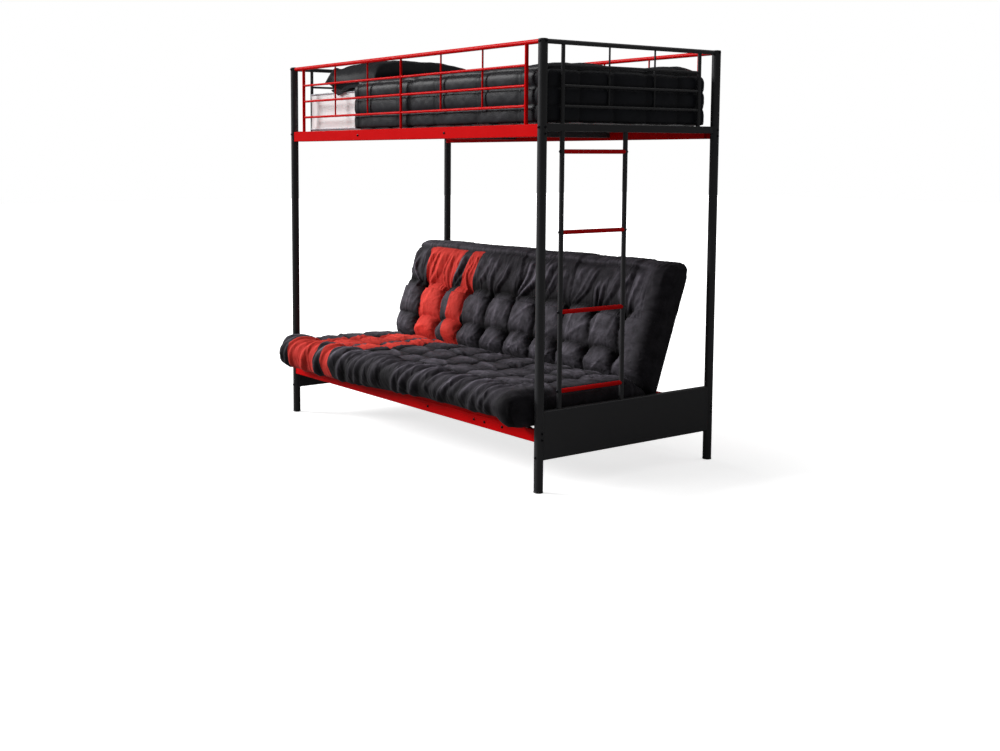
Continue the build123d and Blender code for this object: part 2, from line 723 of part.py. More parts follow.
for name, solids in pieces.items():
    bodies = [shift * body for solid in solids for body in solid.solids()]
    shape = bodies[0] if len(bodies) == 1 else Compound(bodies)
    shape.label = name
    export_step(shape, f"parts/{name}.step")
print(len(pieces), "pieces")
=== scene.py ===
"""Looks of a metal bunk bed over a futon sofa: steel finishes, rods and bolts, and the soft goods.

The steel pieces keep the shapes of the construction model. The futon mattress, the upper mattress, the
quilted cover and the pillow are modelled here, each in the space that its plain solid holds.
"""

import json
import math
import random
from types import SimpleNamespace

import bmesh
import bpy
import numpy as np
from mathutils import Matrix, Vector

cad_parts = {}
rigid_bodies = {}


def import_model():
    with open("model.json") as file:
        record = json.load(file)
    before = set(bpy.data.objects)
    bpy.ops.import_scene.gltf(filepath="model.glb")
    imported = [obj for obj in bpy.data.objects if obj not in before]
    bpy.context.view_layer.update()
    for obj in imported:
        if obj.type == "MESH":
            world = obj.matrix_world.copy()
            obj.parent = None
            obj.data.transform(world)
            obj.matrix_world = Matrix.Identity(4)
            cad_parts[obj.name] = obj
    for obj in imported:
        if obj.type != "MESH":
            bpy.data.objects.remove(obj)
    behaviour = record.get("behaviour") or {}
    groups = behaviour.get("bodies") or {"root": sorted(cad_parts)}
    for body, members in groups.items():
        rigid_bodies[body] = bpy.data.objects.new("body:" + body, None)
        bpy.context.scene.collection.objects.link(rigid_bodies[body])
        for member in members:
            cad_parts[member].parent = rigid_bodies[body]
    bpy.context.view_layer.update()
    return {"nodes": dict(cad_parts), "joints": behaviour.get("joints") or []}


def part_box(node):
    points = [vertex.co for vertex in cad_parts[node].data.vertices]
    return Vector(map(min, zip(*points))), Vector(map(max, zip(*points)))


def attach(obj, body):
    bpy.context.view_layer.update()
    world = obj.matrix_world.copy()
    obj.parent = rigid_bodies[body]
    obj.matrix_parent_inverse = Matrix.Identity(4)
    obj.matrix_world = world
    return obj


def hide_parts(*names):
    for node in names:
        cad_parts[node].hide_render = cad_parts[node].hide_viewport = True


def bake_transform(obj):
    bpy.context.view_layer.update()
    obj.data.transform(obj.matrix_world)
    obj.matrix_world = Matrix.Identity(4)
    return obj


for stray in list(bpy.data.objects):
    bpy.data.objects.remove(stray)
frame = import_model()

bl_info = {
    "name": "Futon bunk bed",
    "version": (1, 0, 0),
    "blender": (4, 5, 0),
    "location": "View3D > Sidebar > Futon bed",
    "description": "Dresses the construction model of a futon bunk bed with its finishes and soft goods",
    "category": "Object",
}

MM = 0.001
# Vertices closer than this are one, and lengths under the tiny one count as none
MERGE = 0.00002
TINY = 1e-9
# A point of the unit cube that is this far out lies on its face
ON_FACE = 0.4999

SLOT_OF = {name: node.material_slots[0].name for name, node in frame["nodes"].items()}
HINGE = Vector(frame["joints"][1]["pos_m"])
RECLINE = math.radians(frame["joints"][1]["range_deg"][1])
BED_MIDDLE_Y = (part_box("post_front_left")[0].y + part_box("post_rear_left")[1].y) / 2


def linear(hex_colour):
    """An sRGB hex colour as the linear colour with alpha that the shaders take."""
    def channel(start):
        value = int(hex_colour[start:start + 2], 16) / 255
        return value / 12.92 if value <= 0.04045 else ((value + 0.055) / 1.055) ** 2.4

    return (channel(1), channel(3), channel(5), 1.0)


def colour_property(name, description, hex_colour):
    """A colour that the user can change, given as sRGB hex."""
    return bpy.props.FloatVectorProperty(
        name=name, description=description, default=linear(hex_colour), size=4, min=0, max=1, subtype="COLOR"
    )


def length_property(name, description, millimetres):
    """A length that the user can change, given in millimetres."""
    return bpy.props.FloatProperty(
        name=name, description=description, default=millimetres * MM, subtype="DISTANCE", unit="LENGTH"
    )


class SteelSettings(bpy.types.PropertyGroup):
    """Finishes of the steel frame and its small fittings"""

    red: colour_property("Red enamel", "Colour of the long rails, the guards and the rungs", "#D20004")
    black: colour_property("Black enamel", "Colour of the posts, the end frames and the ladder", "#333335")
    bolt: colour_property("Bolt", "Colour of the blackened socket heads", "#1C1C20")
    plastic: colour_property("Plastic", "Colour of the caps and feet", "#101012")
    nylon: colour_property("Nylon", "Colour of the rollers, skids and tracks", "#3F3F41")
    rod_sides: bpy.props.IntProperty(
        name="Rod sides", description="Sides of a thin round rod", default=28, min=8
    )


class FutonSettings(bpy.types.PropertyGroup):
    """The tufted futon mattress, one piece from the seat's front roll to the back's top border"""

    black: colour_property("Black cotton", "Colour of the plain part of the cover", "#3C393F")
    red: colour_property("Red cotton", "Colour of the two stripes", "#FF4339")
    columns: bpy.props.IntProperty(
        name="Columns", description="Tufted columns along the bed", default=10, min=3
    )
    puff: length_property("Puff", "How far the padding stands above the seams", 43)
    pit: length_property("Tuft depth", "How far a tuft pulls the cover in below the seams", 16)
    gather: length_property("Gather depth", "Depth of the folds in the front roll and the top band", 23)
    gather_pitch: length_property("Gather pitch", "Mean distance from fold to fold", 40)
    wrinkle: length_property("Wrinkle depth", "Depth of the small creases of the cotton", 2.2)


class BeddingSettings(bpy.types.PropertyGroup):
    """Upper mattress, quilted cover and pillow"""

    white: colour_property("White knit", "Colour of the upper mattress", "#FCFEFF")
    piping: colour_property("Piping", "Colour of the mattress's edge piping", "#B9BBC2")
    cover: colour_property("Cover", "Colour of the quilted cover and the pillow", "#191A1F")
    cover_puff: length_property("Cover puff", "How far each quilted box stands above its seams", 15)
    quilt_pitch: length_property("Quilting pitch", "Distance between the mattress's diagonal seams", 110)
    quilt_depth: length_property("Quilting depth", "How deep those seams pull in", 6)
    piping_thickness: length_property("Piping thickness", "Diameter of the edge piping", 7)
    pillow_pressure: bpy.props.FloatProperty(
        name="Pillow pressure", description="How hard the filling pushes the cover out", default=4.0, min=0
    )


class StageSettings(bpy.types.PropertyGroup):
    """Camera, lamps and floor"""

    floor: colour_property("Floor", "Colour of the pale studio floor", "#F4F4F4")
    camera_place: bpy.props.FloatVectorProperty(
        name="Camera place", description="Where the camera stands",
        default=(4.653, -3.658, 1.344), subtype="XYZ",
    )
    yaw: bpy.props.FloatProperty(
        name="Yaw", description="Camera's heading from +X", default=math.radians(145.43), subtype="ANGLE"
    )
    pitch: bpy.props.FloatProperty(
        name="Pitch", description="Camera's tilt below the horizon",
        default=math.radians(5.48), subtype="ANGLE",
    )
    lens: bpy.props.FloatProperty(name="Lens", description="Focal length in mm", default=44.49, min=1)
    shift: bpy.props.FloatVectorProperty(
        name="Shift", description="Lens shift as a share of the width", default=(0.1, -0.1005), size=2
    )
    sky: bpy.props.FloatProperty(
        name="Sky", description="Strength of the even studio light", default=0.12, min=0
    )


class BedSettings(bpy.types.PropertyGroup):
    """All settings of the bed"""

    steel: bpy.props.PointerProperty(type=SteelSettings)
    futon: bpy.props.PointerProperty(type=FutonSettings)
    bedding: bpy.props.PointerProperty(type=BeddingSettings)
    stage: bpy.props.PointerProperty(type=StageSettings)


def settings():
    """The bed's settings in the current scene."""
    return bpy.context.scene.futon_bed


# Futon mattress, in its flat frame in metres: x along the bed, s from the hinge, n above the hinge.
# Its girth is s on top of the pad, and runs on down the front roll and over the back's top edge.

FUTON_LOW = (-0.928, -0.800, -0.011)
FUTON_HIGH = (0.928, 0.600, 0.108)
FUTON_LOW_ROUND = (0.034, 0.055, 0.024)
FUTON_HIGH_ROUND = (0.045, 0.045, 0.055)
FUTON_CUTS = (370, 280, 14)
TUFTED_HALF_LENGTH = 0.94
TUFT_ROWS = (-0.620, -0.455, -0.290, -0.125, 0.165, 0.345)
SEAT_FRONT = -0.884
CREASE = 0.0
BACK_TOP = 0.600
TOP_SEAM = 0.568

# Places along the bed of the stripes' four edges: at the seat's front, in the crease and at the back's top
STRIPE_EDGES_FRONT = (-0.828, -0.572, -0.510, -0.440)
STRIPE_EDGES_CREASE = (-0.752, -0.560, -0.486, -0.378)
STRIPE_EDGES_TOP = (-0.790, -0.460, -0.402, -0.322)
STRIPE_WANDER = 0.010


# Materials

def new_material(name):
    """An empty node material with its output and shader, its node tree and the shader."""
    material = bpy.data.materials.new(name)
    material.use_nodes = True
    tree = material.node_tree
    tree.nodes.clear()
    output = tree.nodes.new("ShaderNodeOutputMaterial")
    shader = tree.nodes.new("ShaderNodeBsdfPrincipled")
    tree.links.new(shader.outputs["BSDF"], output.inputs["Surface"])
    return material, tree, shader


def wire(tree, node, sockets):
    """Links a node's sockets to other nodes, or sets them."""
    for key, value in sockets.items():
        if isinstance(value, bpy.types.NodeSocket):
            tree.links.new(value, node.inputs[key])
        else:
            node.inputs[key].default_value = value


def add_node(tree, kind, sockets=None, **options):
    """A node with its options set and its sockets linked or set."""
    node = tree.nodes.new(kind)
    for option, value in options.items():
        setattr(node, option, value)
    wire(tree, node, sockets or {})
    return node


def per_mm(size):
    """Texture scale that makes one feature of a pattern on metre coordinates this many mm wide."""
    return 1 / (size * MM)


def bands_per_mm(spacing):
    """Scale of a wave texture for bands this many mm apart. At a scale of 1 it turns 20 radians a metre."""
    return 2 * math.pi / 20 * per_mm(spacing)


def shade(colour, factor):
    """A darker or lighter shade of a colour."""
    return tuple(min(1, c * factor) for c in colour[:3]) + (1.0,)


def powder_coat(name, colour, roughness, gloss):
    """Powder-coated steel tube: an even, slightly pebbled baked enamel with a soft gloss."""
    material, tree, shader = new_material(name)
    place = add_node(tree, "ShaderNodeTexCoord").outputs["Object"]
    pebble = add_node(tree, "ShaderNodeTexNoise", {"Vector": place, "Scale": per_mm(1.6), "Detail": 2.0})
    cloud = add_node(
        tree, "ShaderNodeTexNoise", {"Vector": place, "Scale": per_mm(90), "Detail": 3.0}
    ).outputs["Fac"]
    tint = add_node(
        tree, "ShaderNodeMix", {"Factor": cloud, "A": shade(colour, 0.93), "B": shade(colour, 1.07)},
        data_type="RGBA",
    )
    dullness = add_node(
        tree, "ShaderNodeMapRange", {"Value": cloud, "To Min": roughness - 0.05, "To Max": roughness + 0.06}
    )
    bump = add_node(
        tree, "ShaderNodeBump", {"Height": pebble.outputs["Fac"], "Strength": 0.12, "Distance": 0.15 * MM}
    )
    wire(tree, shader, {
        "Base Color": tint.outputs["Result"], "Roughness": dullness.outputs["Result"],
        "Normal": bump.outputs["Normal"], "IOR": 1.5, "Specular IOR Level": gloss,
    })
    return material


def moulded_plastic(name, colour, roughness):
    """Injection-moulded polyethylene or nylon: a fine spark-eroded grain and a dull gloss."""
    material, tree, shader = new_material(name)
    place = add_node(tree, "ShaderNodeTexCoord").outputs["Object"]
    grain = add_node(
        tree, "ShaderNodeTexNoise", {"Vector": place, "Scale": per_mm(0.7), "Detail": 3.0}
    ).outputs["Fac"]
    tint = add_node(
        tree, "ShaderNodeMix", {"Factor": grain, "A": shade(colour, 0.92), "B": shade(colour, 1.08)},
        data_type="RGBA",
    )
    bump = add_node(tree, "ShaderNodeBump", {"Height": grain, "Strength": 0.2, "Distance": 0.1 * MM})
    wire(tree, shader, {
        "Base Color": tint.outputs["Result"], "Normal": bump.outputs["Normal"],
        "Roughness": roughness, "IOR": 1.5,
    })
    return material


def blackened_steel(name, colour):
    """Black-oxide socket screw: dark metal with a thin oily sheen and turning marks."""
    material, tree, shader = new_material(name)
    place = add_node(tree, "ShaderNodeTexCoord").outputs["Object"]
    marks = add_node(
        tree, "ShaderNodeTexNoise", {"Vector": place, "Scale": per_mm(1.2), "Detail": 4.0}
    ).outputs["Fac"]
    tint = add_node(
        tree, "ShaderNodeMix", {"Factor": marks, "A": shade(colour, 0.75), "B": shade(colour, 1.4)},
        data_type="RGBA",
    )
    dullness = add_node(tree, "ShaderNodeMapRange", {"Value": marks, "To Min": 0.28, "To Max": 0.45})
    wire(tree, shader, {
        "Base Color": tint.outputs["Result"], "Roughness": dullness.outputs["Result"], "Metallic": 0.85,
    })
    return material


def cloth_weave(tree, flat, spacing):
    """Height of crossed threads or loops this many mm apart, on a piece's flat map."""
    across, along = (
        add_node(
            tree, "ShaderNodeTexWave", {"Vector": flat, "Scale": bands_per_mm(spacing), "Distortion": 1.5},
            bands_direction=direction,
        ).outputs["Fac"]
        for direction in ("X", "Y")
    )
    return add_node(tree, "ShaderNodeMath", {0: across, 1: along}, operation="MULTIPLY").outputs["Value"]


def sewn_stripes(tree, flat, x, girth):
    """1 on the two red stripes of the flat map and 0 beside them. Each edge bends in the crease."""
    on_seat = add_node(
        tree, "ShaderNodeMapRange",
        {"Value": girth, "From Min": SEAT_FRONT, "From Max": CREASE, "To Min": -1.0, "To Max": 0.0},
    ).outputs["Result"]
    on_back = add_node(
        tree, "ShaderNodeMapRange", {"Value": girth, "From Min": TUFT_ROWS[-1], "From Max": BACK_TOP}
    ).outputs["Result"]
    sway = add_node(tree, "ShaderNodeTexNoise", {"Vector": flat, "Scale": per_mm(120), "Detail": 2.0})
    wander = add_node(
        tree, "ShaderNodeMapRange",
        {"Value": sway.outputs["Fac"], "To Min": -STRIPE_WANDER, "To Max": STRIPE_WANDER},
    ).outputs["Result"]
    past = []
    for front, crease, top in zip(STRIPE_EDGES_FRONT, STRIPE_EDGES_CREASE, STRIPE_EDGES_TOP):
        edge = crease
        for part, lean in ((on_seat, crease - front), (on_back, top - crease)):
            edge = add_node(
                tree, "ShaderNodeMath", {0: part, 1: lean, 2: edge}, operation="MULTIPLY_ADD"
            ).outputs["Value"]
        edge = add_node(tree, "ShaderNodeMath", {0: edge, 1: wander}, operation="ADD").outputs["Value"]
        beyond = add_node(tree, "ShaderNodeMath", {0: x, 1: edge}, operation="GREATER_THAN")
        past.append(beyond.outputs["Value"])
    wide, thin = (
        add_node(tree, "ShaderNodeMath", {0: first, 1: last}, operation="SUBTRACT").outputs["Value"]
        for first, last in (past[:2], past[2:])
    )
    return add_node(
        tree, "ShaderNodeMath", {0: wide, 1: thin}, operation="ADD", use_clamp=True
    ).outputs["Value"]


def striped_cotton(name, black, red):
    """Brushed cotton twill, dyed black with two sewn-in red stripes: matt and napped, with painted highlights
    on the puffs and painted shade in the seams.

    The stripes follow the flat map of the cover, so that they run on over the seat, the crease and the back.
    """
    material, tree, shader = new_material(name)
    flat = add_node(tree, "ShaderNodeUVMap", uv_map="flat").outputs["UV"]
    parts = add_node(tree, "ShaderNodeSeparateXYZ", {"Vector": flat})
    x, girth = parts.outputs["X"], parts.outputs["Y"]
    panel, puff, gathered = (
        add_node(tree, "ShaderNodeAttribute", attribute_name=attribute).outputs["Fac"]
        for attribute in ("panel", "puff", "gathered")
    )
    dyed = add_node(
        tree, "ShaderNodeMath", {0: sewn_stripes(tree, flat, x, girth), 1: panel}, operation="MULTIPLY"
    )

    # Painted light: each dye runs from painted shade in the seams to a painted highlight on the crests, by
    # the puff value, varied by a random mottle
    mottle = add_node(tree, "ShaderNodeTexNoise", {"Vector": flat, "Scale": per_mm(45), "Detail": 6.0})
    light_mottle = add_node(
        tree, "ShaderNodeMapRange", {"Value": mottle.outputs["Fac"], "To Min": -0.1, "To Max": 1.45}
    )
    raised = add_node(tree, "ShaderNodeMath", {0: puff, 1: 2.1}, operation="POWER")
    painted_light = add_node(
        tree, "ShaderNodeMath", {0: raised.outputs["Value"], 1: light_mottle.outputs["Result"]},
        operation="MULTIPLY",
    ).outputs["Value"]
    black_cloth, red_cloth = (
        add_node(
            tree, "ShaderNodeMix", {"Factor": painted_light, "A": shade(colour, dark), "B": shade(colour, light)},
            data_type="RGBA",
        ).outputs["Result"]
        for colour, dark, light in ((black, 0.03, 3.5), (red, 0.5, 1.5))
    )
    cloth = add_node(
        tree, "ShaderNodeMix", {"Factor": dyed.outputs["Value"], "A": black_cloth, "B": red_cloth},
        data_type="RGBA",
    )

    # Real threads are about 0.5 mm, drawn here as slubs 15 mm apart, so that they show
    weave = cloth_weave(tree, flat, 15)
    fine = add_node(tree, "ShaderNodeBump", {"Height": weave, "Strength": 0.25, "Distance": 0.3 * MM})
    # The creases lie any way on the puffs, and run down the cloth where it is gathered
    squeeze, strength = (
        add_node(tree, "ShaderNodeMapRange", {"Value": gathered, "To Min": low, "To Max": high})
        for low, high in ((0.9, 0.15), (0.5, 0.9))
    )
    along = add_node(
        tree, "ShaderNodeMath", {0: girth, 1: squeeze.outputs["Result"]}, operation="MULTIPLY"
    )
    stretched = add_node(tree, "ShaderNodeCombineXYZ", {"X": x, "Y": along.outputs["Value"]})
    creases = add_node(
        tree, "ShaderNodeTexNoise",
        {"Vector": stretched.outputs["Vector"], "Scale": per_mm(24), "Detail": 4.0, "Distortion": 0.6},
        noise_type="RIDGED_MULTIFRACTAL",
    )
    soft = add_node(
        tree, "ShaderNodeBump",
        {"Height": creases.outputs["Fac"], "Strength": strength.outputs["Result"], "Distance": 8 * MM,
         "Normal": fine.outputs["Normal"]},
    )
    wire(tree, shader, {
        "Base Color": cloth.outputs["Result"], "Normal": soft.outputs["Normal"], "Roughness": 0.75,
        "Sheen Weight": 0.03, "Sheen Roughness": 0.4, "Specular IOR Level": 0.1,
    })
    return material


def quilted_satin(name, colour, gloss):
    """Polyester satin over wadding: dark, with pale highlights where each quilted box turns to its seam. Its
    colour is painted lighter on each box's top and painted darker in the seams.
    """
    material, tree, shader = new_material(name)
    flat = add_node(tree, "ShaderNodeUVMap", uv_map="flat").outputs["UV"]
    puff = add_node(tree, "ShaderNodeAttribute", attribute_name="puff").outputs["Fac"]
    # Painted light: the satin's colour runs from painted shade in the seams to a painted highlight on each
    # box's top, varied by a random mottle
    mottle = add_node(tree, "ShaderNodeTexNoise", {"Vector": flat, "Scale": per_mm(60), "Detail": 5.0})
    painted_light = add_node(tree, "ShaderNodeMath", {0: puff, 1: mottle.outputs["Fac"]}, operation="MULTIPLY")
    cloth = add_node(
        tree, "ShaderNodeMix",
        {"Factor": painted_light.outputs["Value"], "A": shade(colour, 0.35), "B": shade(colour, 1.9)},
        data_type="RGBA",
    )
    # Real threads are about 0.3 mm, drawn here as slubs 10 mm apart, so that they show
    weave = cloth_weave(tree, flat, 10)
    fine = add_node(tree, "ShaderNodeBump", {"Height": weave, "Strength": 0.15, "Distance": 0.2 * MM})
    creases = add_node(tree, "ShaderNodeTexNoise", {"Vector": flat, "Scale": per_mm(22), "Detail": 4.0})
    soft = add_node(
        tree, "ShaderNodeBump",
        {
            "Height": creases.outputs["Fac"], "Strength": 0.2, "Distance": 2 * MM,
            "Normal": fine.outputs["Normal"],
        },
    )
    wire(tree, shader, {
        "Base Color": cloth.outputs["Result"], "Normal": soft.outputs["Normal"], "Roughness": 0.48,
        "Specular IOR Level": gloss, "Sheen Weight": 0.02, "Sheen Roughness": 0.3,
    })
    return material


def knitted_ticking(name, colour):
    """White knitted ticking: a soft double jersey with a faint raised jacquard figure."""
    material, tree, shader = new_material(name)
    flat = add_node(tree, "ShaderNodeUVMap", uv_map="flat").outputs["UV"]
    puff = add_node(tree, "ShaderNodeAttribute", attribute_name="puff").outputs["Fac"]
    # Painted shade: the ticking is darker down in the quilting seams
    cloth = add_node(
        tree, "ShaderNodeMix", {"Factor": puff, "A": shade(colour, 0.9), "B": shade(colour, 1.02)},
        data_type="RGBA",
    )
    # Real loops are about 1 mm, drawn here 12.5 mm apart, so that they show
    knit = cloth_weave(tree, flat, 12.5)
    fine = add_node(tree, "ShaderNodeBump", {"Height": knit, "Strength": 0.2, "Distance": 0.3 * MM})
    figure = add_node(
        tree, "ShaderNodeTexVoronoi", {"Vector": flat, "Scale": per_mm(28), "Randomness": 0.6},
        feature="SMOOTH_F1",
    )
    raised = add_node(
        tree, "ShaderNodeBump",
        {"Height": figure.outputs["Distance"], "Strength": 0.3, "Distance": 1 * MM,
         "Normal": fine.outputs["Normal"]},
    )
    wire(tree, shader, {
        "Base Color": cloth.outputs["Result"], "Normal": raised.outputs["Normal"], "Roughness": 0.85,
        "Sheen Weight": 0.15,
    })
    return material


def piping_cord(name, colour):
    """Woven edge tape over a cord: matt, with soft diagonal ribs, drawn coarse enough to show."""
    material, tree, shader = new_material(name)
    place = add_node(tree, "ShaderNodeTexCoord").outputs["Object"]
    ribs = add_node(
        tree, "ShaderNodeTexWave", {"Vector": place, "Scale": bands_per_mm(12.5), "Distortion": 1.0},
        bands_direction="DIAGONAL",
    ).outputs["Fac"]
    tape = add_node(
        tree, "ShaderNodeMix", {"Factor": ribs, "A": shade(colour, 0.85), "B": shade(colour, 1.1)},
        data_type="RGBA",
    )
    bump = add_node(tree, "ShaderNodeBump", {"Height": ribs, "Strength": 0.3, "Distance": 0.3 * MM})
    wire(tree, shader, {
        "Base Color": tape.outputs["Result"], "Normal": bump.outputs["Normal"], "Roughness": 0.8,
    })
    return material


def studio_floor(name, colour):
    """Matt painted studio floor: plain and pale, it takes the bed's shadow and glows white far from it."""
    material, tree, shader = new_material(name)
    place = add_node(tree, "ShaderNodeTexCoord").outputs["Object"]
    cloud = add_node(tree, "ShaderNodeTexNoise", {"Vector": place, "Scale": per_mm(1500), "Detail": 2.0})
    paint = add_node(
        tree, "ShaderNodeMix",
        {"Factor": cloud.outputs["Fac"], "A": shade(colour, 0.99), "B": shade(colour, 1.01)},
        data_type="RGBA",
    )
    # Less of the lamps' light comes back from it to the bed than to the camera
    seen = add_node(tree, "ShaderNodeLightPath").outputs["Is Camera Ray"]
    returned = add_node(tree, "ShaderNodeMapRange", {"Value": seen, "To Min": 0.3, "To Max": 1.0})
    bounce = add_node(
        tree, "ShaderNodeVectorMath", {0: paint.outputs["Result"], "Scale": returned.outputs["Result"]},
        operation="SCALE",
    )
    away = add_node(tree, "ShaderNodeVectorMath", {0: place}, operation="LENGTH")
    glow = add_node(
        tree, "ShaderNodeMapRange",
        {"Value": away.outputs["Value"], "From Min": 1.2, "From Max": 4.5, "To Min": 0.7, "To Max": 1.0},
        interpolation_type="SMOOTHSTEP",
    )
    glow = add_node(tree, "ShaderNodeMath", {0: glow.outputs["Result"], 1: seen}, operation="MULTIPLY")
    wire(tree, shader, {
        "Base Color": bounce.outputs["Vector"], "Emission Strength": glow.outputs["Value"],
        "Emission Color": (1, 1, 1, 1), "Roughness": 0.95, "Specular IOR Level": 0.1,
    })
    return material


# Mesh helpers

def link_piece(bm, name, material, body, replaced=(), sharp_degrees=None):
    """Turns a bmesh into a smooth-shaded piece that rides on a body and stands for nodes of the model."""
    mesh = bpy.data.meshes.new(name)
    bm.to_mesh(mesh)
    bm.free()
    mesh.shade_smooth()
    if sharp_degrees is not None:
        mesh.set_sharp_from_angle(angle=math.radians(sharp_degrees))
    mesh.materials.append(material)
    piece = bpy.data.objects.new(name, mesh)
    bpy.context.collection.objects.link(piece)
    if body is not None:
        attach(piece, body)
    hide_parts(*replaced)
    return piece


def link_fitting(bm, name, node, sharp_degrees):
    """Links a finer form of a steel or plastic node, in the node's own finish."""
    finish = frame["nodes"][node].material_slots[0].material
    link_piece(bm, name, finish, "bed", [node], sharp_degrees)


def solids_of(node):
    """Lowest and highest corner of each separate solid of a node."""
    bm = bmesh.new()
    bm.from_mesh(frame["nodes"][node].data)
    bmesh.ops.remove_doubles(bm, verts=bm.verts, dist=MERGE)
    waiting = set(bm.verts)
    corners = []
    while waiting:
        reached = [waiting.pop()]
        for vertex in reached:
            for edge in vertex.link_edges:
                other = edge.other_vert(vertex)
                if other in waiting:
                    waiting.remove(other)
                    reached.append(other)
        low = Vector([min(v.co[i] for v in reached) for i in range(3)])
        high = Vector([max(v.co[i] for v in reached) for i in range(3)])
        corners.append((low, high))
    bm.free()
    return sorted(corners, key=lambda pair: tuple(pair[0]))


def turn_to(axis, sign=1):
    """Rotation that takes +Z to an axis, or to its other way with a sign of -1."""
    direction = Vector([sign if i == axis else 0 for i in range(3)])
    return direction.to_track_quat("Z", "Y").to_matrix().to_4x4()


def add_turned(bm, rings, matrix):
    """A turned shape through rings of (radius, height, sides), closed at both ends."""
    loops = []
    for radius, height, sides in rings:
        place = matrix @ Matrix.Translation((0, 0, height))
        circle = bmesh.ops.create_circle(bm, cap_ends=False, segments=sides, radius=radius, matrix=place)
        loops.append(circle["verts"])
    rims = [list({edge for vertex in loop for edge in vertex.link_edges}) for loop in loops]
    for first, second in zip(rims, rims[1:]):
        bmesh.ops.bridge_loops(bm, edges=first + second)
    bm.faces.new(loops[0])
    bm.faces.new(loops[-1])


def lattice_block(cuts):
    """A closed unit cube whose faces are cut into a lattice."""
    bm = bmesh.new()
    bmesh.ops.create_cube(bm, size=1.0)
    for axis, count in enumerate(cuts):
        along = [e for e in bm.edges if abs(e.verts[0].co[axis] - e.verts[1].co[axis]) > MERGE]
        bmesh.ops.subdivide_edges(bm, edges=along, cuts=count, use_grid_fill=True)
    return bm


def corners_of(bm):
    """The vertices' places as an array, in the order of their numbers."""
    bm.verts.index_update()
    return np.array([v.co[:] for v in bm.verts])


def store_point_values(bm, name, values):
    """Keeps one number for each vertex, for the material."""
    layer = bm.verts.layers.float.new(name)
    for vertex, value in zip(bm.verts, values):
        vertex[layer] = value


def shape_cloth(bm, places, puff, across, along):
    """Moves the vertices to their places and keeps each one's puff, which sets its painted light and shade in
    the material, and its place on the cloth laid flat.
    """
    for vertex, place in zip(bm.verts, places):
        vertex.co = place
    store_point_values(bm, "puff", puff)
    layer = bm.loops.layers.uv.new("flat")
    for face in bm.faces:
        for loop in face.loops:
            loop[layer].uv = (across[loop.vert.index], along[loop.vert.index])


def smoothstep(values):
    """An even rise from 0 to 1 that starts and ends flat."""
    t = np.clip(values, 0, 1)
    return t * t * (3 - 2 * t)


def bell(values, width):
    """1 at zero, falling to nothing over about twice the width on both sides."""
    return np.exp(-((values / width) ** 2))


def ripple(across, along, size, seed, octaves=3):
    """Smooth seeded noise from about -1 to 1, made of crossed waves about this many metres long."""
    dice = random.Random(seed)
    total = np.zeros_like(across)
    weight = 1.0
    for _ in range(octaves):
        for _ in range(5):
            heading = dice.uniform(0, math.pi)
            wave = size * dice.uniform(0.75, 1.35)
            phase = dice.uniform(0, 2 * math.pi)
            total += weight * np.sin(
                2 * math.pi * (across * math.cos(heading) + along * math.sin(heading)) / wave + phase
            )
        size /= 2
        weight /= 2
    return total / 4


def pull_round(gap):
    """How far points off a rectangle's core come in to lie on its round corners, by their larger gap."""
    largest = np.abs(gap).max(axis=1, keepdims=True)
    length = np.linalg.norm(gap, axis=1, keepdims=True)
    return np.where(length > 0, largest / np.maximum(length, TINY), 1)


def rounded_block(cube, low, high, low_round, high_round):
    """Maps a lattice cube to a box with rounded edges.

    Returns the places in the sharp box, those in the rounded one, and the outward directions.
    """
    low, high = np.array(low), np.array(high)
    low_round, high_round = np.array(low_round), np.array(high_round)
    raw = low + (cube + 0.5) * (high - low)
    core = np.clip(raw, low + low_round, high - high_round)
    gap = raw - core
    radius = np.where(gap < 0, low_round, high_round)
    share = gap / radius
    rounded = core + gap * pull_round(share)
    outward = share / radius
    outward /= np.maximum(np.linalg.norm(outward, axis=1, keepdims=True), TINY)
    return raw, rounded, outward


def nearest_gap(values, lines):
    """Distance from each value to the nearest line, and that line's number."""
    gaps = np.abs(values[:, None] - np.array(lines)[None, :])
    return gaps.min(axis=1), gaps.argmin(axis=1)


def cell_share(values, knots):
    """How far each value is from the middle of its cell between knots: 0 in the middle, 1 at a knot."""
    knots = np.array(knots)
    cell = np.clip(np.searchsorted(knots, values) - 1, 0, len(knots) - 2)
    share = (values - knots[cell]) / (knots[cell + 1] - knots[cell])
    return np.abs(2 * np.clip(share, 0, 1) - 1)


def puffed(across_share, along_share, sharpness=0.5, floor=0.28):
    """Height, 0 at the seams to 1, of stuffed cells whose seams are lower at the tufts than between them."""
    across_bulge = (1 - across_share ** 2.3) ** sharpness
    along_bulge = (1 - along_share ** 2.3) ** sharpness
    across_floor = floor * (1 - along_share ** 2)
    along_floor = floor * (1 - across_share ** 2)
    across_height = across_floor + (1 - across_floor) * across_bulge
    along_height = along_floor + (1 - along_floor) * along_bulge
    return across_height * along_height


# Steel frame

ROD_NODES = tuple(
    side + part
    for side in ("guard_front_", "guard_rear_", "end_left_", "end_right_")
    for part in ("bars", "pickets")
)
# Rings of a bolt head as radius and height in mm and sides, with its six-sided socket last
BOLT_RINGS = (
    (6.0, -0.6, 24), (6.0, 0.6, 24), (5.7, 1.7, 24), (4.9, 2.6, 24), (3.6, 3.2, 24),
    (3.0, 3.3, 6), (3.0, 1.4, 6),
)
# Rings of a cap and a foot, as shares of the post's radius and of the node's thickness
CAP_RING_SHARES = ((1.0, 0.0), (1.0, 0.55), (0.97, 0.8), (0.86, 1.05), (0.6, 1.25), (0.3, 1.35), (0.12, 1.37))
FOOT_RING_SHARES = ((0.86, 0.0), (0.97, 0.12), (1.06, 0.35), (1.06, 0.75), (1.0, 1.0), (0.9, 1.0))
CAP_SIDES = 48


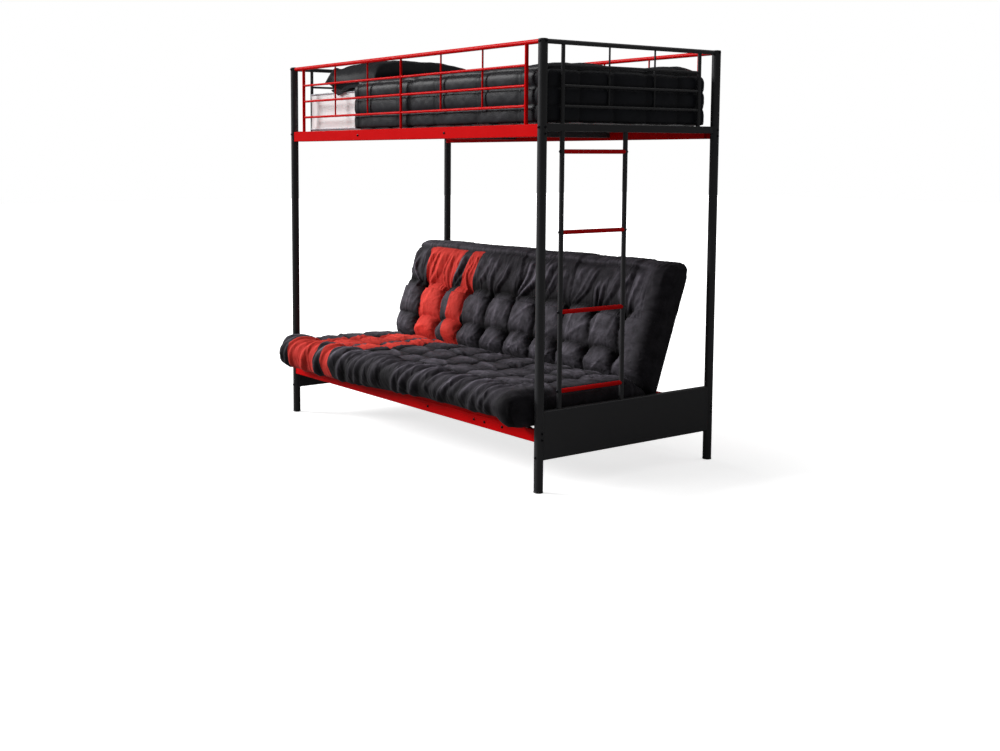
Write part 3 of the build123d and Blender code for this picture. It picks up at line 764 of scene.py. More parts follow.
class BED_OT_steel(bpy.types.Operator):
    """Gives each steel, plastic and nylon node of the construction model its finish"""

    bl_idname = "futon_bed.steel"
    bl_label = "Steel frame"

    def execute(self, context):
        steel = settings().steel
        finishes = {
            "red_enamel": powder_coat("red_powder_coat", tuple(steel.red), 0.34, 0.05),
            "black_enamel": powder_coat("black_powder_coat", tuple(steel.black), 0.36, 0.25),
            "black_bolt": blackened_steel("black_oxide_steel", tuple(steel.bolt)),
            "black_plastic": moulded_plastic("black_polyethylene", tuple(steel.plastic), 0.45),
            "nylon": moulded_plastic("black_nylon", tuple(steel.nylon), 0.4),
        }
        for name, slot in SLOT_OF.items():
            if slot in finishes:
                frame["nodes"][name].material_slots[0].material = finishes[slot]
        return {"FINISHED"}


class BED_OT_rods(bpy.types.Operator):
    """Makes the thin bars and pickets of the guards and end frames as smooth round rods"""

    bl_idname = "futon_bed.rods"
    bl_label = "Guard rods"

    def execute(self, context):
        sides = settings().steel.rod_sides
        for node in ROD_NODES:
            bm = bmesh.new()
            for low, high in solids_of(node):
                size = high - low
                axis = max(range(3), key=lambda i: size[i])
                radius = max(size[i] for i in range(3) if i != axis) / 2
                bmesh.ops.create_cone(
                    bm, cap_ends=True, segments=sides, radius1=radius, radius2=radius, depth=size[axis],
                    matrix=Matrix.Translation((low + high) / 2) @ turn_to(axis),
                )
            link_fitting(bm, "round_" + node, node, 40)
        return {"FINISHED"}


class BED_OT_bolts(bpy.types.Operator):
    """Makes the socket-head bolts of the posts, rails and ladder"""

    bl_idname = "futon_bed.bolts"
    bl_label = "Bolts"

    def execute(self, context):
        rings = [(radius * MM, height * MM, sides) for radius, height, sides in BOLT_RINGS]
        for node in ("post_bolts", "rail_bolts", "ladder_bolts"):
            heads = solids_of(node)
            middle = sum((low + high for low, high in heads), Vector()) / (2 * len(heads))
            bm = bmesh.new()
            for low, high in heads:
                size = high - low
                axis = min(range(3), key=lambda i: size[i])
                seat = (low + high) / 2
                sign = 1 if seat[axis] > middle[axis] else -1
                seat[axis] = low[axis] if sign > 0 else high[axis]
                add_turned(bm, rings, Matrix.Translation(seat) @ turn_to(axis, sign))
            bmesh.ops.recalc_face_normals(bm, faces=bm.faces)
            link_fitting(bm, "socket_" + node, node, 35)
        return {"FINISHED"}


class BED_OT_caps(bpy.types.Operator):
    """Makes the domed caps and the moulded feet of the posts"""

    bl_idname = "futon_bed.caps"
    bl_label = "Caps and feet"

    def execute(self, context):
        post_low, post_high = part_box("post_front_left")
        for node, name, shares in (
            ("post_caps", "domed_post_caps", CAP_RING_SHARES),
            ("post_feet", "moulded_post_feet", FOOT_RING_SHARES),
        ):
            bm = bmesh.new()
            for low, high in solids_of(node):
                base, end = (post_high.z, high.z) if node == "post_caps" else (low.z, post_low.z)
                rings = [((high.x - low.x) / 2 * r, (end - base) * h, CAP_SIDES) for r, h in shares]
                add_turned(bm, rings, Matrix.Translation(((low.x + high.x) / 2, (low.y + high.y) / 2, base)))
            bmesh.ops.recalc_face_normals(bm, faces=bm.faces)
            link_fitting(bm, name, node, 50)
        return {"FINISHED"}


# Futon mattress

# Reach of the bend on both sides of the hinge, at the pad's top and at its underside
CREASE_REACH = 0.15
UNDER_REACH = 0.03

# The frame under the pad: half its length, its front, the middle of its top tube, and what rests on it
FRAME_HALF_LENGTH = 0.921
FRAME_FRONT = -0.706
FRAME_TOP = 0.6225
FUTON_UNDERSIDE = 0.0133
ROLL_LOWEST = -0.022

# Sways of the seams between the columns: depth, wave, phase, and slant along the bed
SEAM_SWAYS = ((0.006, 0.31, 1.3, 0.0), (0.004, 0.17, 0.0, 5.0))
SEAT_ARCH = 0.010
BACK_ARCH = 0.034
PAST_EDGE = 1.2
PAST_TOP = 0.16

# Ends of the bed without tufts: where they start along the bed past the last tuft or the left edge
PLAIN_START = 0.025
LEFT_END = -0.86
RIGHT_END = 0.82
CREASE_HALF_WIDTH = 0.05

# Each stuffed cell is this full, by rows and columns
FULLNESS = (0.8, 1.1)
CELLS = 12
SEAT_FLATNESS = 0.52

# Creases of a part: its lowest and highest corner, and their count, heading and seed
SEAT_CREASES = ((-0.9, -0.60), (0.9, -0.03), 170, 0.15, 47)
BACK_CREASES = ((-0.9, 0.03), (0.75, 0.34), 70, 1.2, 53)
SEAT_CREASE_DEPTH = 0.0085
BACK_CREASE_DEPTH = 0.0055

# Lean and seed of the pleats
ROLL_PLEATS = (-0.12, 23)
BAND_PLEATS = (0.075, 11)

# What pulls the cover in: the tufts, and depth and width of the crease and of the top seam
TUFT_RADIUS = 0.024
HINGE_CREASE = (0.024, 0.030)
TOP_SEAM_GROOVE = (0.009, 0.007)
HEM_SINK = 0.006
HEM_GATHER = 0.022


def fold_back(s, n):
    """Bends the flat mattress up at the hinge, to the sofa's angle."""
    height = np.clip(n / FUTON_HIGH[2], 0, 1)
    reach = UNDER_REACH + (CREASE_REACH - UNDER_REACH) * height
    turn = RECLINE * smoothstep((s / reach + 1) / 2)
    y = HINGE.y + s * np.cos(turn) - n * np.sin(turn)
    z = HINGE.z + s * np.sin(turn) + n * np.cos(turn)
    return y, z


def fanned_pleats(x, t, columns, pitch, lean, seed):
    """Irregular pleats that leave the tufts of a row at t = 0 and run to t = 1: 0 in the valleys to 1."""
    dice = random.Random(seed)
    pleats = np.zeros_like(x)
    opened = 0.3 + 0.7 * smoothstep(t / 0.45)
    root = columns[0] - 0.25
    while root < columns[-1] + 0.25:
        gap = pitch * dice.uniform(0.5, 1.7)
        root += gap
        tuft = min(columns, key=lambda column: abs(column - root))
        slant = lean + dice.uniform(-0.02, 0.03)
        bend = dice.uniform(-0.015, 0.015)
        line = tuft + (root - tuft) * opened + slant * t ** 1.4 + bend * np.sin(math.pi * t)
        width = gap * dice.uniform(0.5, 0.75) * (0.45 + 0.55 * opened)
        # Each pleat is steep on one side and hangs over gently on the other
        offset = (x - line) / width
        offset = np.where(offset > 0, 1.3 * offset, 0.8 * offset)
        first, last = dice.uniform(-0.35, 0.2), dice.uniform(0.7, 1.5)
        fade = smoothstep((t - first) / 0.25) * smoothstep((last - t) / 0.3)
        size = dice.uniform(0.4, 1.0) * min(1.1, gap / pitch)
        reach = np.clip(1 - np.abs(offset), 0, 1)
        crest = 0.5 * np.sqrt(1 - (1 - reach) ** 2) + 0.5 * reach ** 2
        pleats = np.maximum(pleats, size * fade * crest)
    return pleats


def drawn_creases(x, s, low, high, count, heading, seed):
    """Long thin creases strewn over a part of the cover, each with its own place, heading and length."""
    dice = random.Random(seed)
    creases = np.zeros_like(x)
    for _ in range(count):
        centre = [dice.uniform(a, b) for a, b in zip(low, high)]
        angle = heading + dice.gauss(0, 0.3)
        length = dice.uniform(0.05, 0.15)
        width = dice.uniform(0.006, 0.013)
        along = (x - centre[0]) * math.cos(angle) + (s - centre[1]) * math.sin(angle)
        off = (s - centre[1]) * math.cos(angle) - (x - centre[0]) * math.sin(angle)
        off = off - dice.uniform(-2, 2) * along ** 2
        creases = np.maximum(creases, dice.uniform(0.4, 1) * bell(along, length) * bell(off, width))
    return creases


def pad_points(cube, raw):
    """Each point's side of the pad, its place on the cover laid flat, and the part of the pad it lies on."""
    p = SimpleNamespace()
    p.x, p.s, p.n = raw.T
    drop = FUTON_HIGH[2] - p.n
    front, top_edge = cube[:, 1] < -ON_FACE, cube[:, 1] > ON_FACE
    left, right = cube[:, 0] < -ON_FACE, cube[:, 0] > ON_FACE
    p.end_side = left | right
    p.side = front | top_edge | p.end_side
    p.underside = (cube[:, 2] < -ON_FACE) & ~p.side
    p.girth = np.where(front, p.s - drop, np.where(top_edge, p.s + drop, p.s))
    p.across = np.where(left, p.x - drop, np.where(right, p.x + drop, p.x))
    p.on_seat = p.girth < CREASE
    p.in_roll = p.girth < TUFT_ROWS[0]
    p.in_band = p.girth > TUFT_ROWS[-1]
    p.roll_share = np.clip((TUFT_ROWS[0] - p.girth) / (TUFT_ROWS[0] - SEAT_FRONT), 0, PAST_EDGE)
    p.band_share = np.clip((p.girth - TUFT_ROWS[-1]) / (BACK_TOP - TUFT_ROWS[-1]), 0, PAST_EDGE)
    p.hemmed = smoothstep((p.girth - TOP_SEAM - 0.002) / 0.006)
    return p


def stuff_cells(p, column_count):
    """Fills the cells between the tufts, with arched tops on the back, and finds each point's seam."""
    pitch = 2 * TUFTED_HALF_LENGTH / column_count
    p.columns = [-TUFTED_HALF_LENGTH + pitch * i for i in range(1, column_count)]
    p.bent_x = p.x
    for depth, wave, phase, slant in SEAM_SWAYS:
        p.bent_x = p.bent_x + depth * np.sin(2 * math.pi * p.s / wave + phase + slant * p.x)
    p.column_gap, p.column = nearest_gap(p.bent_x, p.columns)
    column_share = np.clip(1 - p.column_gap / (pitch / 2), 0, 1)
    arch = np.where(p.on_seat, SEAT_ARCH, BACK_ARCH) * np.sqrt(np.clip(1 - column_share ** 2, 0, 1))
    arched = p.girth - arch * np.clip((p.girth - CREASE) / 0.05, -1, 1)
    knots = sorted(TUFT_ROWS + (CREASE, SEAT_FRONT, BACK_TOP + PAST_TOP))
    row_share = cell_share(arched, knots)

    # The seams between columns fade in the roll and the band, which stay full
    seam_hold = np.where(p.in_roll, 1 - 0.75 * smoothstep(p.roll_share * 2), 1)
    seam_hold = np.where(p.in_band, 1 - 0.75 * smoothstep(p.band_share * 1.3), seam_hold)
    height = puffed(column_share * seam_hold, row_share)
    height = np.where(p.in_roll, np.maximum(height, 0.9 * smoothstep(p.roll_share * 2.6)), height)
    height = np.where(p.in_band, np.maximum(height, 0.85 * smoothstep(p.band_share * 1.6)), height)
    clear = np.abs(p.girth) > CREASE_HALF_WIDTH
    p.plain = smoothstep((p.x - p.columns[-1] - PLAIN_START) / 0.06)
    height = height + (0.92 - height) * p.plain * (0.4 + 0.6 * clear)
    p.height = height + (0.8 - height) * 0.7 * smoothstep((LEFT_END - p.x) / 0.05) * clear

    dice = random.Random(3)
    fullness = np.array([[dice.uniform(*FULLNESS) for _ in range(CELLS)] for _ in range(CELLS)])
    cell_column = np.clip(np.searchsorted(p.columns, p.bent_x), 0, CELLS - 1)
    cell_row = np.clip(np.searchsorted(knots, arched), 0, CELLS - 1)
    flattened = np.where(p.on_seat & ~p.in_roll, SEAT_FLATNESS, 1.0)
    p.stuffing = p.height * fullness[cell_column, cell_row] * flattened


def fold_cover(p, pitch):
    """Pleats of the front roll and of the back's top band, and the creases of the seat and the back."""
    p.pleats = np.zeros_like(p.x)
    shown = ~p.underside
    for part, share, (lean, seed) in (
        (p.in_roll & shown, p.roll_share, ROLL_PLEATS), (p.in_band & shown, p.band_share, BAND_PLEATS)
    ):
        p.pleats[part] = fanned_pleats(p.bent_x[part], share[part], p.columns, pitch, lean, seed)
    p.pleats *= smoothstep((TOP_SEAM - 0.006 - p.girth) / 0.035)
    p.creases = np.zeros_like(p.x)
    for part, spread in (
        (p.on_seat & shown & ~p.in_roll, SEAT_CREASES), (~p.on_seat & shown & ~p.in_band, BACK_CREASES)
    ):
        p.creases[part] = drawn_creases(p.x[part], p.s[part], *spread)
    p.gathered = (p.in_roll | p.in_band) & (p.hemmed < 0.5)


def cover_relief(p, futon):
    """How far the cover stands out from the stuffed cells: pleats, creases, tufts, seams and wrinkles."""
    row_gap, row = nearest_gap(p.girth, TUFT_ROWS)
    tuft_gap = np.hypot(p.column_gap, row_gap)
    pits = bell(tuft_gap, TUFT_RADIUS)
    # Short creases radiate from each tuft, and reach further at the plain end
    angle = np.arctan2(p.girth - np.array(TUFT_ROWS)[row], p.bent_x - np.array(p.columns)[p.column])
    phase = 1.7 * p.column + 2.3 * row + 1.2 * ripple(p.x, p.girth, 0.25, 5)
    ray_reach = 0.045 + 0.06 * (p.plain > 0.01)
    rays = np.sqrt(np.abs(np.sin(4 * angle + phase))) * np.exp(-tuft_gap / ray_reach) * (1 - pits)

    calm = 1 - 0.8 * smoothstep((p.x - 0.79) / 0.08)
    pleat_depth = futon.gather * calm * np.where(p.in_roll, 0.35 + 0.65 * smoothstep(p.roll_share * 3), 1)
    crease_depth = np.where(p.on_seat, SEAT_CREASE_DEPTH, BACK_CREASE_DEPTH)
    small = ripple(p.x, p.girth, 0.07, 31) + 0.6 * ripple(p.x, p.girth, 0.03, 37)
    hem_gathers = np.sin(2 * math.pi * p.x / HEM_GATHER + 2 * ripple(p.x, p.girth, 0.2, 61)) * p.hemmed
    relief = pleat_depth * (p.pleats - 0.45) * p.gathered + crease_depth * p.creases - HEM_SINK * p.hemmed
    relief += futon.wrinkle * (1.8 * rays + 0.4 * small + 0.8 * hem_gathers)
    relief -= futon.pit * pits
    for line, (depth, width) in ((CREASE, HINGE_CREASE), (TOP_SEAM, TOP_SEAM_GROOVE)):
        relief -= depth * bell(p.girth - line, width)
    return relief


def settle_on_frame(p, places):
    """Draws the top edge over the frame's tube, hangs the roll in front and rests the pad on the slats."""
    s, n = places[:, 1], places[:, 2]
    s += 0.036 * (1 - np.clip(n / FUTON_HIGH[2], 0, 1)) * smoothstep((p.s - 0.5) / 0.1)
    in_front = smoothstep((-0.55 - s) / 0.17)
    corner = smoothstep((np.abs(p.x) - 0.82) / 0.07)
    s += 0.030 * np.clip(1 - n / 0.075, 0, 1.2) ** 2 * in_front
    lift = 0.020 - 0.030 * smoothstep((0.45 - p.x) / 0.9) - 0.025 * corner * (p.x > 0)
    n += lift * (1 - np.clip(n / FUTON_HIGH[2], 0, 1)) * in_front
    lowest = np.where(s > FRAME_FRONT, FUTON_LOW[2], ROLL_LOWEST)
    over_frame = (np.abs(p.x) < FRAME_HALF_LENGTH) & (s > FRAME_FRONT) & (s < FRAME_TOP)
    places[:, 2] = np.maximum(n, np.where(over_frame, FUTON_UNDERSIDE, lowest))


def cover_light_and_shade(p):
    """How much painted light each point of the cover gets: painted highlights on the puffs, the pleats'
    crests and the creases, and painted shade in the seams, down the front roll and at the right end.
    """
    folded = np.where(p.in_roll, smoothstep(p.roll_share / 0.15), smoothstep(p.band_share / 0.15))
    folded = folded * (1 - p.plain) * p.gathered
    crest_highlights = 0.4 * smoothstep((p.pleats - 0.6) / 0.4) * folded + 0.3 * p.creases
    lit_share = np.clip(p.height * (0.5 + 0.65 * p.pleats * folded + 0.3 * (1 - folded)) + crest_highlights, 0, 1.4)
    # Painted shade down the front roll and at the bed's right end
    lit_share *= 1 - 0.45 * smoothstep((p.roll_share - 0.4) / 0.5) * p.in_roll
    return lit_share * (1 - 0.45 * smoothstep((p.x - RIGHT_END) / 0.1))


class BED_OT_futon(bpy.types.Operator):
    """Makes the futon mattress: one tufted, striped pad, bent up at the hinge to the sofa's angle"""

    bl_idname = "futon_bed.futon"
    bl_label = "Futon mattress"

    def execute(self, context):
        futon = settings().futon
        bm = lattice_block(FUTON_CUTS)
        cube = corners_of(bm)
        raw, rounded, outward = rounded_block(cube, FUTON_LOW, FUTON_HIGH, FUTON_LOW_ROUND, FUTON_HIGH_ROUND)
        p = pad_points(cube, raw)
        stuff_cells(p, futon.columns)
        fold_cover(p, futon.gather_pitch)
        relief = cover_relief(p, futon)

        # The ends are fuller than the top, and the sides lie flat at their lower hem
        stuffing = np.where(p.end_side, 0.5 + 0.3 * p.stuffing, p.stuffing)
        puff = futon.puff * stuffing + 0.004 * ripple(p.x, p.girth, 0.45, 41, octaves=1)
        hem = smoothstep((p.n - FUTON_LOW[2]) / 0.03)
        swell = puff * (0.5 + 0.5 * np.clip(outward[:, 2], 0, 1)) + relief * (1 - 0.4 * np.abs(outward[:, 0]))
        swell = np.where(p.underside, 0, np.where(p.side, swell * hem, swell))
        places = rounded + outward * swell[:, None]
        settle_on_frame(p, places)

        y, z = fold_back(places[:, 1], places[:, 2])
        shape_cloth(bm, np.stack([places[:, 0], y, z], axis=1), cover_light_and_shade(p), p.across, p.girth)
        store_point_values(bm, "panel", (~p.underside & (p.girth < TOP_SEAM)).astype(float))
        store_point_values(bm, "gathered", p.in_roll | p.in_band)
        bmesh.ops.recalc_face_normals(bm, faces=bm.faces)
        cotton = striped_cotton("brushed_cotton_twill", tuple(futon.black), tuple(futon.red))
        piece = link_piece(bm, "futon_mattress", cotton, None, ["seat_pad", "back_pad"])
        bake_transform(piece)
        return {"FINISHED"}


# Upper mattress

MATTRESS_CUTS = (150, 72, 14)
MATTRESS_CORNER = 0.070
MATTRESS_EDGE = 0.012
MATTRESS_CROWN_ROOM = 0.004
MATTRESS_WAIST = 0.005
QUILTED_HALF_WIDTH = 0.45
PIPING_STEPS = 12


def rounded_plan(places, low, high, radius):
    """The places of a box's points with round corners in its plan."""
    core = np.clip(places[:, :2], np.array(low[:2]) + radius, np.array(high[:2]) - radius)
    gap = places[:, :2] - core
    return np.hstack([core + gap * pull_round(gap), places[:, 2:]])


def piping_ring(name, low, high, z, thickness, material):
    """A cord sewn round the mattress along a rounded rectangle."""
    curve = bpy.data.curves.new(name, "CURVE")
    curve.dimensions = "3D"
    curve.bevel_depth = thickness / 2
    curve.bevel_resolution = 3
    points = []
    for corner, (x, y) in enumerate(((high.x, high.y), (low.x, high.y), (low.x, low.y), (high.x, low.y))):
        centre_x = x - math.copysign(MATTRESS_CORNER, x)
        centre_y = y - math.copysign(MATTRESS_CORNER, y - BED_MIDDLE_Y)
        for i in range(PIPING_STEPS + 1):
            angle = math.pi / 2 * (corner + i / PIPING_STEPS)
            x_place = centre_x + MATTRESS_CORNER * math.cos(angle)
            y_place = centre_y + MATTRESS_CORNER * math.sin(angle)
            points.append((x_place, y_place, z, 1))
    spline = curve.splines.new("POLY")
    spline.points.add(len(points) - 1)
    for point, place in zip(spline.points, points):
        point.co = place
    spline.use_cyclic_u = True
    ring = bpy.data.objects.new(name, curve)
    bpy.context.collection.objects.link(ring)
    mesh = bpy.data.meshes.new_from_object(ring.evaluated_get(bpy.context.evaluated_depsgraph_get()))
    bpy.data.objects.remove(ring)
    bm = bmesh.new()
    bm.from_mesh(mesh)
    bmesh.ops.remove_doubles(bm, verts=bm.verts, dist=MERGE)
    link_piece(bm, name, material, "bed")


class BED_OT_mattress(bpy.types.Operator):
    """Makes the quilted white mattress of the upper bunk, with its piping"""

    bl_idname = "futon_bed.mattress"
    bl_label = "Upper mattress"

    def execute(self, context):
        bedding = settings().bedding
        low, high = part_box("upper_mattress")
        inset = Vector((bedding.piping_thickness / 2, bedding.piping_thickness / 2, 0))
        bm = lattice_block(MATTRESS_CUTS)
        cube = corners_of(bm)
        box = (low + inset, high - inset - Vector((0, 0, MATTRESS_CROWN_ROOM)))
        rounding = (MATTRESS_EDGE, MATTRESS_EDGE, MATTRESS_EDGE)
        raw, rounded, outward = rounded_block(cube, *box, rounding, rounding)
        places = rounded_plan(rounded, *box, MATTRESS_CORNER)
        x, y, z = raw.T

        # Diagonal seams on the top, which fade at its border, and sides that pull in at half height
        on_top = smoothstep((z - high.z + 0.02) / 0.015)
        quilt = np.ones_like(x)
        for diagonal in (x + y, x - y):
            quilt *= np.abs(np.sin(math.pi * diagonal / bedding.quilt_pitch)) ** 0.5
        border = smoothstep(
            np.minimum(high.x - np.abs(x), QUILTED_HALF_WIDTH - np.abs(y - BED_MIDDLE_Y)) / 0.03
        )
        height = on_top * quilt * border
        waist = -MATTRESS_WAIST * np.sin(math.pi * (z - low.z) / (high.z - low.z)) * (1 - on_top)
        places += outward * (bedding.quilt_depth * (height - 1) * on_top + waist)[:, None]

        drop = high.z - z
        across = np.where(np.abs(cube[:, 0]) > ON_FACE, x + np.sign(x) * drop, x)
        along = np.where(np.abs(cube[:, 1]) > ON_FACE, y + np.sign(y) * drop, y)
        # The quilt's depth also gives the ticking its painted shade in the seams
        shape_cloth(bm, places, np.where(on_top > 0.5, quilt, 0.8), across, along)
        bmesh.ops.recalc_face_normals(bm, faces=bm.faces)
        ticking = knitted_ticking("white_knitted_ticking", tuple(bedding.white))
        piece = link_piece(bm, "quilted_mattress", ticking, "bed", ["upper_mattress"])
        tape = piping_cord("grey_piping_tape", tuple(bedding.piping))
        for name, level in (
            ("mattress_piping_top", high.z - MATTRESS_EDGE), ("mattress_piping_bottom", low.z + MATTRESS_EDGE)
        ):
            piping_ring(name, low + inset, high - inset, level, bedding.piping_thickness, tape)
        return {"FINISHED"}


# Quilted cover

COVER_CUTS = (162, 120, 30)
COVER_WALL = 0.015
# How far the sewn shell stands in from the plain solid's box before it puffs out
COVER_LOW_INSET = Vector((0.004, 0.016, 0))
COVER_HIGH_INSET = Vector((0.010, 0.016, 0.024))
COVER_LOW_ROUND = (0.004, 0.045, 0.004)
COVER_HIGH_ROUND = (0.040, 0.045, 0.045)
COVER_ROW_SHARES = (0.33, 0.64)
COVER_COLUMNS = (-0.385, -0.055, 0.041, 0.232, 0.531, 0.80)
COVER_TOP_ROWS = 5
COVER_RISE = 0.010


class BED_OT_cover(bpy.types.Operator):
    """Makes the dark quilted cover that lies over the mattress and hangs down its sides"""

    bl_idname = "futon_bed.cover"
    bl_label = "Quilted cover"

    def execute(self, context):
        bedding = settings().bedding
        box_low, box_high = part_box("duvet")
        low, high = box_low + COVER_LOW_INSET, box_high - COVER_HIGH_INSET
        bm = lattice_block(COVER_CUTS)
        opened = [face for face in bm.faces if min(face.calc_center_median().xz) < -ON_FACE]
        bmesh.ops.delete(bm, geom=opened, context="FACES")
        cube = corners_of(bm)
        raw, rounded, outward = rounded_block(cube, low, high, COVER_LOW_ROUND, COVER_HIGH_ROUND)
        x, y, z = raw.T
        drop = high.z - z
        front, rear = cube[:, 1] < -ON_FACE, cube[:, 1] > ON_FACE
        foot = cube[:, 0] > ON_FACE
        side = front | rear | foot
        along = np.where(front, y - drop, np.where(rear, y + drop, y))
        across = np.where(foot & ~front & ~rear, x + drop, x)

        # Sewn boxes: columns along the bed, rows over the top, and the same rows down each side
        depth = high.z - low.z
        falls = [depth * (1 - share) for share in COVER_ROW_SHARES]
        columns = [low.x - 0.03, *COVER_COLUMNS, high.x, high.x + depth] + [high.x + fall for fall in falls]
        rows = [low.y + (high.y - low.y) * i / COVER_TOP_ROWS for i in range(COVER_TOP_ROWS + 1)]
        rows += [low.y - depth, high.y + depth]
        rows += [edge + side_sign * fall for edge, side_sign in ((low.y, -1), (high.y, 1)) for fall in falls]
        height = puffed(
            cell_share(across, sorted(columns)), cell_share(along, sorted(rows)), sharpness=0.27, floor=0.1
        )
        small = ripple(across, along, 0.09, 53) + 0.5 * ripple(across, along, 0.035, 59)
        broad = ripple(across, along, 0.5, 61, octaves=1)
        swell = bedding.cover_puff * (height - 0.2) + 0.0009 * small + np.where(side, 0.001, 0.006) * broad
        places = rounded + outward * swell[:, None]

        # The top is crowned across the bed, and at the foot it rises near the wall and dips beside it
        lift = COVER_RISE * np.cos(math.pi * np.clip((y - BED_MIDDLE_Y) / 0.48, -1, 1) / 2)
        lift += smoothstep((x - 0.5) / 0.3) * COVER_RISE * (bell(y - 0.37, 0.09) - bell(y - 0.12, 0.14))
        places[:, 2] = np.maximum(places[:, 2] + np.where(side, 0, lift), box_low.z)

        # The boxes' heights also give the satin its painted highlights on top and painted shade in the seams
        shape_cloth(bm, places, height, across, along)
        bmesh.ops.recalc_face_normals(bm, faces=bm.faces)
        satin = quilted_satin("quilted_polyester_satin", tuple(bedding.cover), 0.16)
        piece = link_piece(bm, "quilted_cover", satin, "bed", ["duvet"])
        wall = piece.modifiers.new("Wall", "SOLIDIFY")
        wall.thickness = COVER_WALL
        wall.offset = -1
        wall.use_even_offset = False
        return {"FINISHED"}


# Pillow

PILLOW_CUTS = (56, 72, 1)
PILLOW_HEM = 0.035
PILLOW_PULL = 0.022
PILLOW_SEAM_RISE = 0.045
PILLOW_CROWN_ROOM = 0.015
PILLOW_EAR = 0.035
EAR_PLACE = 0.88
EAR_WIDTH = 0.1
BLOW_UP_LIMIT = 0.014
BLOW_UP_FRAMES = 20

# The case's open end: its sides and tip along the bed, and its course out over the mattress's front edge
FLAP_SIDES = (-0.700, -0.470)
FLAP_TIP = -0.600
FLAP_STEPS = (0, 0.3, 0.6, 0.68, 1)
FLAP_Y = (-0.290, -0.345, -0.398, -0.4065, -0.4075)
FLAP_RISE = (0.030, 0.005, 0.005, 0.000, -0.025)
FLAP_WALL = 0.003


def blown_up(piece, pressure):
    """Places of a closed cloth piece's vertices blown up by its filling, none past the limit."""
    before = np.array([v.co[:] for v in piece.data.vertices])
    cloth = piece.modifiers.new("Cloth", "CLOTH")
    cloth.settings.quality = 6
    cloth.settings.mass = 0.3
    cloth.settings.use_pressure = True
    cloth.settings.uniform_pressure_force = pressure
    cloth.settings.effector_weights.gravity = 0
    cloth.collision_settings.use_collision = False
    scene = bpy.context.scene
    for step in range(1, BLOW_UP_FRAMES + 1):
        scene.frame_set(step)
    blown = piece.evaluated_get(bpy.context.evaluated_depsgraph_get()).to_mesh()
    moved = np.array([v.co[:] for v in blown.vertices]) - before
    piece.modifiers.remove(cloth)
    scene.frame_set(1)
    length = np.linalg.norm(moved, axis=1, keepdims=True)
    return before + moved * np.minimum(1, BLOW_UP_LIMIT / np.maximum(length, TINY))


class BED_OT_pillow(bpy.types.Operator):
    """Makes the soft dark pillow with its pointed corners, and the open end of its case"""

    bl_idname = "futon_bed.pillow"
    bl_label = "Pillow"

    def execute(self, context):
        bedding = settings().bedding
        low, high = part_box("pillow")
        satin = quilted_satin("pillow_polyester_satin", tuple(bedding.cover), 0.06)
        bm = lattice_block(PILLOW_CUTS)
        u, v, w = 2 * corners_of(bm).T
        fullness = np.clip((1 - u ** 6) * (1 - v ** 6), 0, 1) ** 0.45
        middle = (low + high) / 2
        half = (high - low) / 2 + Vector((0, PILLOW_HEM, 0))
        x = middle.x + u * (half.x - PILLOW_PULL * (1 - v ** 2) * np.abs(u) ** 3)
        y = middle.y + v * (half.y - PILLOW_PULL * (1 - u ** 2) * np.abs(v) ** 3)
        seam_z = low.z + PILLOW_SEAM_RISE
        crown = 0.75 + 0.25 * (1 - u ** 2) * (1 - v ** 2)
        reach = np.where(w > 0, (high.z - PILLOW_CROWN_ROOM - seam_z) * crown, seam_z - low.z)
        z = seam_z + reach * w * np.maximum(fullness, 0.03)
        z += PILLOW_EAR * bell(u + EAR_PLACE, EAR_WIDTH) * bell(v + EAR_PLACE, EAR_WIDTH)
        z += 0.004 * ripple(x, y, 0.16, 71) * fullness * (w > 0)
        # Painted shade: the pillow's colour is darker toward its thin edges, and the whole pillow is darker
        # than the cover
        shape_cloth(bm, np.stack([x, y, z], axis=1), 0.1 + 0.15 * fullness, x, y)
        bmesh.ops.recalc_face_normals(bm, faces=bm.faces)
        piece = link_piece(bm, "soft_pillow", satin, "bed", ["pillow"])
        for vertex, place in zip(piece.data.vertices, blown_up(piece, bedding.pillow_pressure)):
            vertex.co = place
        for vertex in piece.data.vertices:
            vertex.co.z = max(vertex.co.z, low.z)
        piece.data.update()
        smooth = piece.modifiers.new("Smooth", "SUBSURF")
        smooth.levels = 1
        smooth.render_levels = 1

        # The open end of the case runs out to a point that hangs over the mattress's front edge
        bm = bmesh.new()
        bmesh.ops.create_grid(bm, x_segments=24, y_segments=16, size=0.5)
        share, out = corners_of(bm).T[:2] + 0.5
        root_x = FLAP_SIDES[0] + (FLAP_SIDES[1] - FLAP_SIDES[0]) * share
        x = FLAP_TIP + (root_x - FLAP_TIP) * np.interp(out, (0, 0.65, 1), (1, 0.75, 0.02))
        y = np.interp(out, FLAP_STEPS, FLAP_Y)
        z = low.z + np.interp(out, FLAP_STEPS, FLAP_RISE) + 0.0015 * (1 + np.sin(9 * share)) * (out < 0.6)
        # Painted sheen: the flap is given the satin's lightest shades all over
        shape_cloth(bm, np.stack([x, y, z], axis=1), np.ones_like(x), x, y)
        flap = link_piece(bm, "pillow_case_flap", satin, "bed")
        wall = flap.modifiers.new("Wall", "SOLIDIFY")
        wall.thickness = FLAP_WALL
        wall.offset = 0
        return {"FINISHED"}


# Stage

# Name, elevation and heading in degrees, strength, and softness in radians
LAMPS = (
    ("key_lamp", (24, -50), 3.3, 0.4),
    ("top_lamp", (62, -60), 1.1, 0.7),
    ("fill_lamp", (35, 55), 0.06, 0.8),
    ("back_lamp", (50, 160), 0.3, 0.8),
)
FLOOR_SIZE = 30.0


